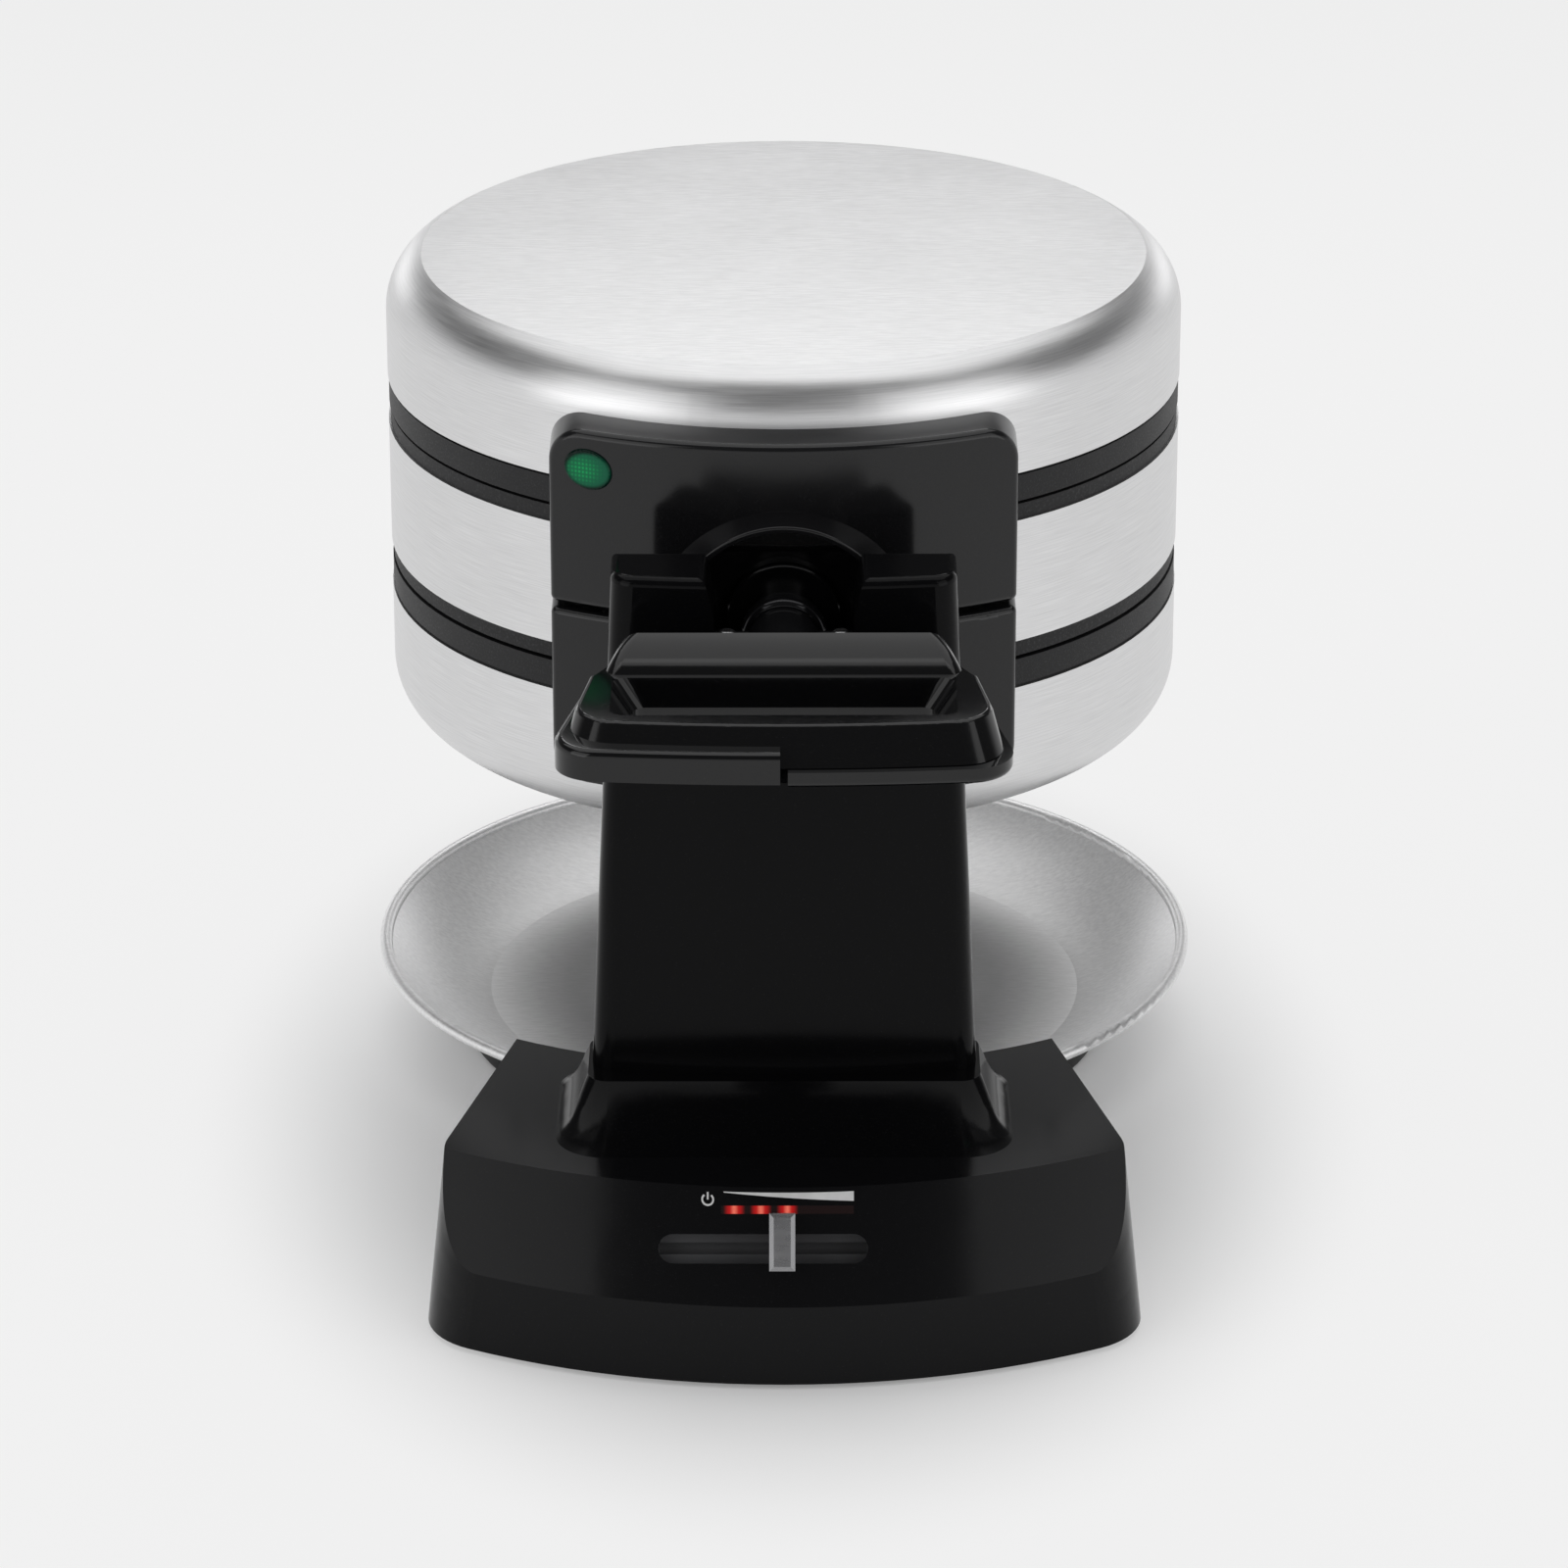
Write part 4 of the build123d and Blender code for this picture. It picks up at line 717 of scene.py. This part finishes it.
@dataclass(frozen=True)
class LevelWindow(Finish):
    """The smoked window over the level lamps, which light it from behind in separate spots."""

    first_x: float = -0.0136
    pitch: float = 0.0072
    lit_count: int = 3
    spot: float = 0.0031
    glow_fall: Span = (0.35, 1.0)
    core_fall: Span = (0.0, 0.42)
    dark: Colour = (0.004, 0.001, 0.001)
    red: Colour = (0.42, 0.006, 0.006)
    hot: Colour = (0.9, 0.2, 0.13)
    core_light: float = 0.5
    strength: float = 1.0
    grain: Grain = Grain(1500.0, 1.0)
    grain_light: float = 0.4
    grain_rough: float = 0.05

    def shade(self, bench: Bench) -> None:
        """Adds a red spot with a hot core over each lit lamp.

        Args:
            bench: The material's bench.
        """
        place = bench.place()
        x = bench.split(place)[0]
        glow: Value = 0.0
        core: Value = 0.0
        for count in range(self.lit_count):
            away = abs(x - (self.first_x + count * self.pitch))
            glow = self.lit(bench, away, self.glow_fall) + glow
            core = self.lit(bench, away, self.core_fall) + core
        grain = bench.noise(place, self.grain)
        hot_share = core * (grain * self.grain_light + self.core_light)
        red = bench.blend(glow, self.dark, self.red)
        bench.put("Emission Color", bench.blend(hot_share, red, self.hot))
        bench.put("Emission Strength", self.strength)
        bench.put("Roughness", grain * self.grain_rough + self.roughness)

    def lit(self, bench: Bench, away: Port, fall: Span) -> Port:
        """How strongly a lamp shows.

        Args:
            bench: The material's bench.
            away: How far the point is from the lamp.
            fall: Where the light starts and ends to fall off, as shares of the spot's radius.

        Returns:
            One near the lamp, and zero outside its spot.
        """
        near, far = (self.spot * share for share in fall)
        return 1.0 - bench.step(away, near, far)


@dataclass(frozen=True)
class Moulding(Finish):
    """A plain moulded or printed part, with a faint mottle."""

    specular: float = 0.45
    mottle: Grain = Grain(60.0, 4.0)
    mottle_rough: float = 0.12
    shades: Span = (0.85, 1.12)
    grain: Grain = Grain(1500.0, 1.0)
    relief: Span = (0.00002, 0.4)

    def shade(self, bench: Bench) -> None:
        """Adds the mottle and the grain.

        Args:
            bench: The material's bench.
        """
        place = bench.place()
        mottle = bench.noise(place, self.mottle)
        polish = self.roughness - NOISE_MIDDLE * self.mottle_rough
        bench.put("Specular IOR Level", self.specular)
        bench.put("Base Color", self.between(bench, mottle, self.shades))
        bench.put("Roughness", mottle * self.mottle_rough + polish)
        bench.relief(bench.noise(place, self.grain), *self.relief)


@dataclass(frozen=True)
class CircuitBoard(Finish):
    """Green laminate with copper tracks under its lacquer."""

    pitch: float = 0.0026
    wander: Grain = Grain(130.0, 0.0)
    wander_stretch: float = 0.3
    wander_depth: float = 0.004
    track_edge: Span = (0.55, 0.75)
    track_colour: Colour = (0.07, 0.3, 0.09)
    track_rough: float = -0.1
    relief: Span = (0.00004, 0.6)

    def shade(self, bench: Bench) -> None:
        """Adds the tracks.

        Args:
            bench: The material's bench.
        """
        x, _, z = bench.split(bench.place())
        wander = bench.noise(bench.join(x * self.wander_stretch, z, 0.0), self.wander)
        turn = 2 * math.pi / self.pitch
        lines = bench.math("SINE", (z + wander * self.wander_depth) * turn)
        track = bench.step(lines, *self.track_edge)
        bench.put("Base Color", bench.blend(track, self.colour, self.track_colour))
        bench.put("Roughness", track * self.track_rough + self.roughness)
        bench.relief(track, *self.relief)


def both(*stems: str) -> tuple[str, ...]:
    """The upper and the lower node of each name."""
    return tuple(f"{stem}_{side}" for stem in stems for side in ("upper", "lower"))


@dataclass(frozen=True)
class Finishes:
    """The finishes of the waffle maker and the CAD nodes that wear each."""

    lens_offset: Span = (-0.054, 0.042)
    steel: Colour = (0.72, 0.72, 0.724)
    tray_steel: Colour = (0.88, 0.88, 0.885)
    black: Colour = (0.0075, 0.0075, 0.0085)
    matt_black: Colour = (0.012, 0.012, 0.013)
    lens_green: Colour = (0.008, 0.07, 0.03)

    def catalogue(self) -> dict[Finish, tuple[str, ...]]:
        """Which finish each CAD node wears.

        Returns:
            The nodes of each finish.
        """
        return {**self.metals(), **self.plastics(), **self.lamps_and_board()}

    def metals(self) -> dict[Finish, tuple[str, ...]]:
        """Which nodes are metal, the hinge, hub and shaft in black.

        Returns:
            The nodes of each metal finish.
        """
        tray = BrushedSteel(
            "tray_steel",
            self.tray_steel,
            0.44,
            lay=Lay.ACROSS,
            axis_y=TRAY_Y,
            streak_length=0.0045,
            streak_width=0.0009,
            spread=0.58,
            # Painted shade darkens the tray's floor towards its middle, out to this radius.
            shaded_floor_radius=0.112,
        )
        hardware = (
            "hinge_pins",
            "middle_screws",
            *both("lid_screws"),
            "bearing_screws",
            "handle_screws",
            "base_screws",
            "shaft_nut",
            "retaining_clip",
            "stop_pin",
            *both("catch_springs"),
            "catch_strikes",
        )
        hub = ("hub_flange", "bearing_block", "bearing_cap", "stop_ring")
        hinge = ("hinge_bracket", *both("hinge_arm"))
        shields = (*both("heat_shield"), "thermostat")
        grids = both("lid_grid", "middle_grid")
        heaters = both("lid_heater", "middle_heater")
        return {
            BrushedSteel("cap_steel", self.steel, 0.35): both("lid_cap"),
            BrushedSteel("band_steel", self.steel, 0.36, lay=Lay.ROUND): ("middle_band",),
            tray: ("drip_tray",),
            CoatedCasting("grid_coating", (0.022, 0.022, 0.024), 0.42): grids,
            HeatedSteel("element_steel", (0.2, 0.19, 0.18), 0.35): heaters,
            WorkedMetal("shield_aluminium", (0.72, 0.72, 0.73), 0.24): shields,
            WorkedMetal("hinge_black", self.matt_black, 0.34, metallic=0.2): hinge,
            WorkedMetal("hub_black", (0.009, 0.009, 0.01), 0.16, metallic=0.1): hub,
            WorkedMetal("shaft_black", (0.02, 0.02, 0.022), 0.12, metallic=0.6): ("pivot_shaft",),
            WorkedMetal("hardware_steel", (0.5, 0.5, 0.51), 0.26): hardware,
            WorkedMetal("bush_bronze", (0.55, 0.36, 0.16), 0.3): ("bearing_bush",),
            WorkedMetal("slider_grey", (0.38, 0.38, 0.39), 0.28, metallic=0.9): ("slider_knob",),
        }

    def plastics(self) -> dict[Finish, tuple[str, ...]]:
        """Which nodes are plastic or rubber.

        Returns:
            The nodes of each plastic or rubber finish.
        """
        column = ("column_shell", "column_back_cover")
        underside = ("base_bottom_plate", "cord_inlet")
        inner_black = shade_of(self.black, 0.5)
        base_black = shade_of(self.black, 0.7)
        middle_grain = Grain(1300.0, 2.0, 0.6)
        return {
            GrainedPlastic("lid_ring_black", self.matt_black, 0.5): both("lid_ring"),
            GrainedPlastic(
                "middle_ring_black", (0.017, 0.017, 0.018), 0.55, grain=middle_grain
            ): both("middle_ring"),
            GlossPlastic("plate_black", (0.009, 0.009, 0.0098), 0.14): both("front_plate"),
            GlossPlastic("column_black", inner_black, 0.12, specular=0.09): column,
            GlossPlastic("base_black", base_black, 0.15, specular=0.15): ("base_housing",),
            GlossPlastic("handle_black", inner_black, 0.09, specular=0.42): both("handle"),
            Moulding("underside_black", self.matt_black, 0.45): underside,
            FootRubber("foot_rubber", (0.018, 0.018, 0.018), 0.75): ("rubber_feet",),
            Moulding("control_grey", (0.08, 0.08, 0.085), 0.5): ("slide_potentiometer",),
            Moulding("terminal_white", (0.72, 0.72, 0.69), 0.4): ("terminal_block",),
        }

    def lamps_and_board(self) -> dict[Finish, tuple[str, ...]]:
        """Which nodes are the lamps, their lenses and the circuit board.

        Returns:
            The nodes of each of their finishes.
        """
        across, up = self.lens_offset
        green, gloss = self.lens_green, 0.12
        upper = LitLens("upper_lens_green", green, gloss, centre=(across, PIVOT_Z + up))
        lower = LitLens("lower_lens_green", green, gloss, centre=(-across, PIVOT_Z - up))
        return {
            upper: ("indicator_lens_upper",),
            lower: ("indicator_lens_lower",),
            LevelWindow("level_window", (0.006, 0.002, 0.002), 0.1): ("indicator_strip",),
            Moulding("lamp_red", (0.6, 0.03, 0.02), 0.25): ("indicator_leds",),
            CircuitBoard("board_green", (0.015, 0.14, 0.04), 0.4): ("control_board",),
        }

    def dress(self, nodes: dict[str, bpy.types.Object]) -> None:
        """Puts each node's finish on its material slots.

        Args:
            nodes: The CAD objects by name.
        """
        bare = set(nodes)
        for finish, wearers in self.catalogue().items():
            material = finish.build()
            for name in wearers:
                piece = nodes[name]
                if not piece.material_slots:
                    piece.data.materials.append(material)
                for slot in piece.material_slots:
                    slot.material = material
                bare.discard(name)
            LOG.info("finish %s on %s", finish.name, ", ".join(wearers))
        if bare:
            LOG.warning("no finish for %s", sorted(bare))


@dataclass(frozen=True)
class FacetMarks:
    """The white wedge and the power symbol printed on the base's sloped face."""

    # The face: its foot, its bow, its slope and the height that the marks are placed from
    front_y: float = COOKER_Y - BASE_REACH
    front_radius: float = 0.19
    low_z: float = 0.024
    run: float = 0.014
    rise: float = 0.03
    middle_z: float = 0.039
    # The print: how far it stands out and how thick it is
    proud: float = 0.00012
    ink: float = 0.0001
    colour: Colour = (0.86, 0.86, 0.86)
    roughness: float = 0.35
    mottle: Grain = Grain(300.0, 4.0)
    # The wedge: its ends, its straight upper edge and its thickness at each end
    wedge: Span = (-0.0165, 0.0188)
    wedge_top: float = 0.0155
    wedge_thick: Span = (0.0002, 0.0026)
    wedge_steps: int = 18
    # The power symbol: its middle, its ring with a gap of twice an angle in degrees, its bar
    symbol: Span = (-0.0208, 0.0132)
    symbol_radius: float = 0.00175
    symbol_line: float = 0.0005
    symbol_gap: float = 38.0
    symbol_steps: int = 28
    bar_share: float = 1.15

    def on_face(self, x: float, up: float) -> Vector:
        """A point on the curved facet.

        Args:
            x: Its place across.
            up: How far up the slope it is from the facet's middle height.

        Returns:
            The point, just in front of the face.
        """
        slant = math.hypot(self.run, self.rise)
        z = self.middle_z + up * self.rise / slant
        bow = self.front_radius - math.sqrt(self.front_radius**2 - x * x)
        y = self.front_y + (z - self.low_z) * self.run / self.rise + bow
        return Vector((x, y - self.proud, z))

    def strip(
        self, mesh: bmesh.types.BMesh, lower: Sequence[Span], upper: Sequence[Span]
    ) -> None:
        """Adds a printed strip between two lines of points.

        Args:
            mesh: The mesh it goes into.
            lower: One edge, as pairs of place across and up the slope.
            upper: The other edge, with as many points.
        """
        depth = Vector((0.0, self.ink, 0.0))
        lines = (lower, upper)
        front = [[mesh.verts.new(self.on_face(*point)) for point in line] for line in lines]
        back = [[mesh.verts.new(vert.co + depth) for vert in line] for line in front]
        last = len(lower) - 1
        for here in range(last):
            there = here + 1
            mesh.faces.new((front[0][here], front[0][there], front[1][there], front[1][here]))
            mesh.faces.new((back[0][there], back[0][here], back[1][here], back[1][there]))
            mesh.faces.new((front[0][there], front[0][here], back[0][here], back[0][there]))
            mesh.faces.new((front[1][here], front[1][there], back[1][there], back[1][here]))
        for count in (0, last):
            ends = (front[0][count], front[1][count], back[1][count], back[0][count])
            mesh.faces.new(ends if count == 0 else tuple(reversed(ends)))

    def draw_wedge(self, mesh: bmesh.types.BMesh) -> None:
        """Adds the wedge that grows with the browning level.

        Args:
            mesh: The mesh it goes into.
        """
        start, end = self.wedge
        thin, thick = self.wedge_thick
        upper, lower = [], []
        for count in range(self.wedge_steps + 1):
            share = count / self.wedge_steps
            x = start + (end - start) * share
            upper.append((x, self.wedge_top))
            lower.append((x, self.wedge_top - thin - (thick - thin) * share))
        self.strip(mesh, lower, upper)

    def draw_symbol(self, mesh: bmesh.types.BMesh) -> None:
        """Adds the power symbol: an open ring with a bar.

        Args:
            mesh: The mesh it goes into.
        """
        x, up = self.symbol
        gap = math.radians(self.symbol_gap)
        start, turn = math.pi / 2 + gap, 2 * math.pi - 2 * gap
        steps = self.symbol_steps
        angles = [start + turn * count / steps for count in range(steps + 1)]
        inner, outer = (
            [(x + radius * math.cos(angle), up + radius * math.sin(angle)) for angle in angles]
            for radius in (self.symbol_radius - self.symbol_line, self.symbol_radius)
        )
        self.strip(mesh, outer, inner)
        half = self.symbol_line / 2
        top = up + self.symbol_radius * self.bar_share
        self.strip(mesh, [(x - half, up), (x + half, up)], [(x - half, top), (x + half, top)])

    def build(self) -> bpy.types.Object:
        """Makes the marks.

        Returns:
            The printed piece.
        """
        mesh = bmesh.new()
        self.draw_wedge(mesh)
        self.draw_symbol(mesh)
        bmesh.ops.recalc_face_normals(mesh, faces=mesh.faces)
        data = bpy.data.meshes.new("facet_marks")
        mesh.to_mesh(data)
        mesh.free()
        piece = bpy.data.objects.new("facet_marks", data)
        bpy.context.scene.collection.objects.link(piece)
        print_white = Moulding("mark_white", self.colour, self.roughness, mottle=self.mottle)
        data.materials.append(print_white.build())
        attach(piece, "base")
        return piece


@dataclass(frozen=True)
class Lamp:
    """A soft rectangular studio lamp. Its size is its width and height, and its power in watts."""

    name: str
    place: Point
    size: Span
    power: float

    def hang(self, target: Point) -> None:
        """Hangs the lamp so that it faces a point.

        Args:
            target: The point.
        """
        data = bpy.data.lights.new(self.name, "AREA")
        data.shape = "RECTANGLE"
        data.size, data.size_y = self.size
        data.energy = self.power
        lamp = bpy.data.objects.new(self.name, data)
        lamp.location = self.place
        way = Vector(target) - Vector(self.place)
        lamp.rotation_euler = way.to_track_quat("-Z", "Y").to_euler()
        bpy.context.scene.collection.objects.link(lamp)


@dataclass(frozen=True)
class Studio:
    """The camera, the pale floor and the light."""

    # The camera: its tilt from straight down in degrees and its roll in radians
    eye: Point = (0.0, -1.70284, 0.8142)
    tilt: float = 67.23
    roll: float = -0.001
    lens: float = 144.33
    sensor: float = 36.0
    sight: float = 50.0
    # The floor, and how much of the backdrop shows on it near the object and far from it. The
    # reach is counted in half sizes of the object's footprint.
    floor_half: float = 6.0
    floor_colour: Colour = (0.97, 0.97, 0.972)
    floor_roughness: float = 0.9
    backdrop: float = 0.93
    near_glow: float = 0.12
    far_glow: float = 0.85
    footprint: Span = (0.125, 0.2)
    glow_reach: Span = (0.75, 1.45)
    # The world, and the pale band that is seen above the floor's far edge
    sky: Colour = (0.95, 0.95, 0.955)
    sky_strength: float = 0.12
    sweep: float = 0.85
    sweep_reach: Span = (0.12, 0.42)
    # The lamps and the point that they face
    aim: Point = (0.0, 0.0, 0.12)
    lamps: tuple[Lamp, ...] = (
        Lamp("lamp_top", (0.0, 0.3, 1.5), (2.1, 1.6), 11.5),
        Lamp("lamp_strip", (0.0, -0.3, 1.7), (1.3, 0.15), 0.4),
        Lamp("lamp_disc", (0.015, 0.95, 0.8), (0.5, 0.24), 1.0),
        Lamp("lamp_left", (-1.2, -1.0, 0.75), (1.2, 1.4), 5.8),
        Lamp("lamp_right", (1.2, -1.0, 0.75), (1.2, 1.4), 5.4),
        Lamp("lamp_back_left", (-1.0, 1.9, 0.42), (0.7, 0.5), 1.0),
        Lamp("lamp_back_right", (1.0, 1.9, 0.42), (0.7, 0.5), 1.0),
    )

    def build(self) -> None:
        """Sets up the whole studio."""
        self.hang_camera()
        self.lay_floor()
        self.set_world()
        for lamp in self.lamps:
            lamp.hang(self.aim)
        bpy.context.scene.view_settings.view_transform = "Standard"

    def hang_camera(self) -> None:
        """Puts the camera where the photograph was taken from."""
        data = bpy.data.cameras.new("camera")
        data.lens = self.lens
        data.sensor_width = self.sensor
        data.clip_end = self.sight
        camera = bpy.data.objects.new("camera", data)
        tilted = Matrix.Rotation(math.radians(self.tilt), 4, "X")
        turn = tilted @ Matrix.Rotation(self.roll, 4, "Z")
        camera.matrix_world = Matrix.Translation(self.eye) @ turn
        bpy.context.scene.collection.objects.link(camera)
        bpy.context.scene.camera = camera

    def lay_floor(self) -> None:
        """Makes the floor, which shows as pale to the camera and keeps the shadow."""
        half = self.floor_half
        corners = [(-half, -half, 0.0), (half, -half, 0.0), (half, half, 0.0), (-half, half, 0.0)]
        data = bpy.data.meshes.new("floor")
        data.from_pydata(corners, [], [(0, 1, 2, 3)])
        floor = bpy.data.objects.new("floor", data)
        bpy.context.scene.collection.objects.link(floor)
        data.materials.append(self.floor_material())

    def floor_material(self) -> bpy.types.Material:
        """The floor's material: plain for the light, pale to the camera and in reflections.

        Returns:
            The material.
        """
        material = bpy.data.materials.new("floor_pale")
        bench = Bench(material)
        bench.put("Base Color", opaque(self.floor_colour))
        bench.put("Roughness", self.floor_roughness)
        bench.put("Specular IOR Level", 0.0)
        paint = {"Color": opaque(WHITE), "Strength": self.backdrop}
        white = bench.node("ShaderNodeEmission", None, paint)
        x, y, _ = bench.split(bench.place())
        away = bench.radius(x / self.footprint[0], y / self.footprint[1])
        far = bench.step(away, *self.glow_reach)
        glow = far * (self.far_glow - self.near_glow) + self.near_glow
        mixed = bench.node("ShaderNodeMixShader", None, {0: bench.seen() * glow})
        output = bench.tree.nodes["Material Output"]
        bench.tree.links.new(bench.surface.outputs["BSDF"], mixed.inputs[1])
        bench.tree.links.new(white.outputs["Emission"], mixed.inputs[2])
        bench.tree.links.new(mixed.outputs["Shader"], output.inputs["Surface"])
        return material

    def set_world(self) -> None:
        """Makes the plain world, which is seen pale low down and lights the object evenly."""
        world = bpy.data.worlds.new("studio")
        bench = Bench(world, "Background")
        bench.put("Color", opaque(self.sky))
        direction = bench.port(bench.node("ShaderNodeTexCoord"), "Generated")
        low = 1.0 - bench.step(bench.split(direction)[2], *self.sweep_reach)
        paler = self.sweep - self.sky_strength
        bench.put("Strength", bench.seen() * low * paler + self.sky_strength)
        bpy.context.scene.world = world


def main() -> None:
    """Builds the looks in order."""
    logging.basicConfig(level=logging.INFO, format="%(name)s: %(message)s")
    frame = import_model()
    Studio().build()
    Finishes().dress(frame["nodes"])
    marks = FacetMarks().build()
    LOG.info("piece %s with %d faces", marks.name, len(marks.data.polygons))


if __name__ == "__main__":
    main()
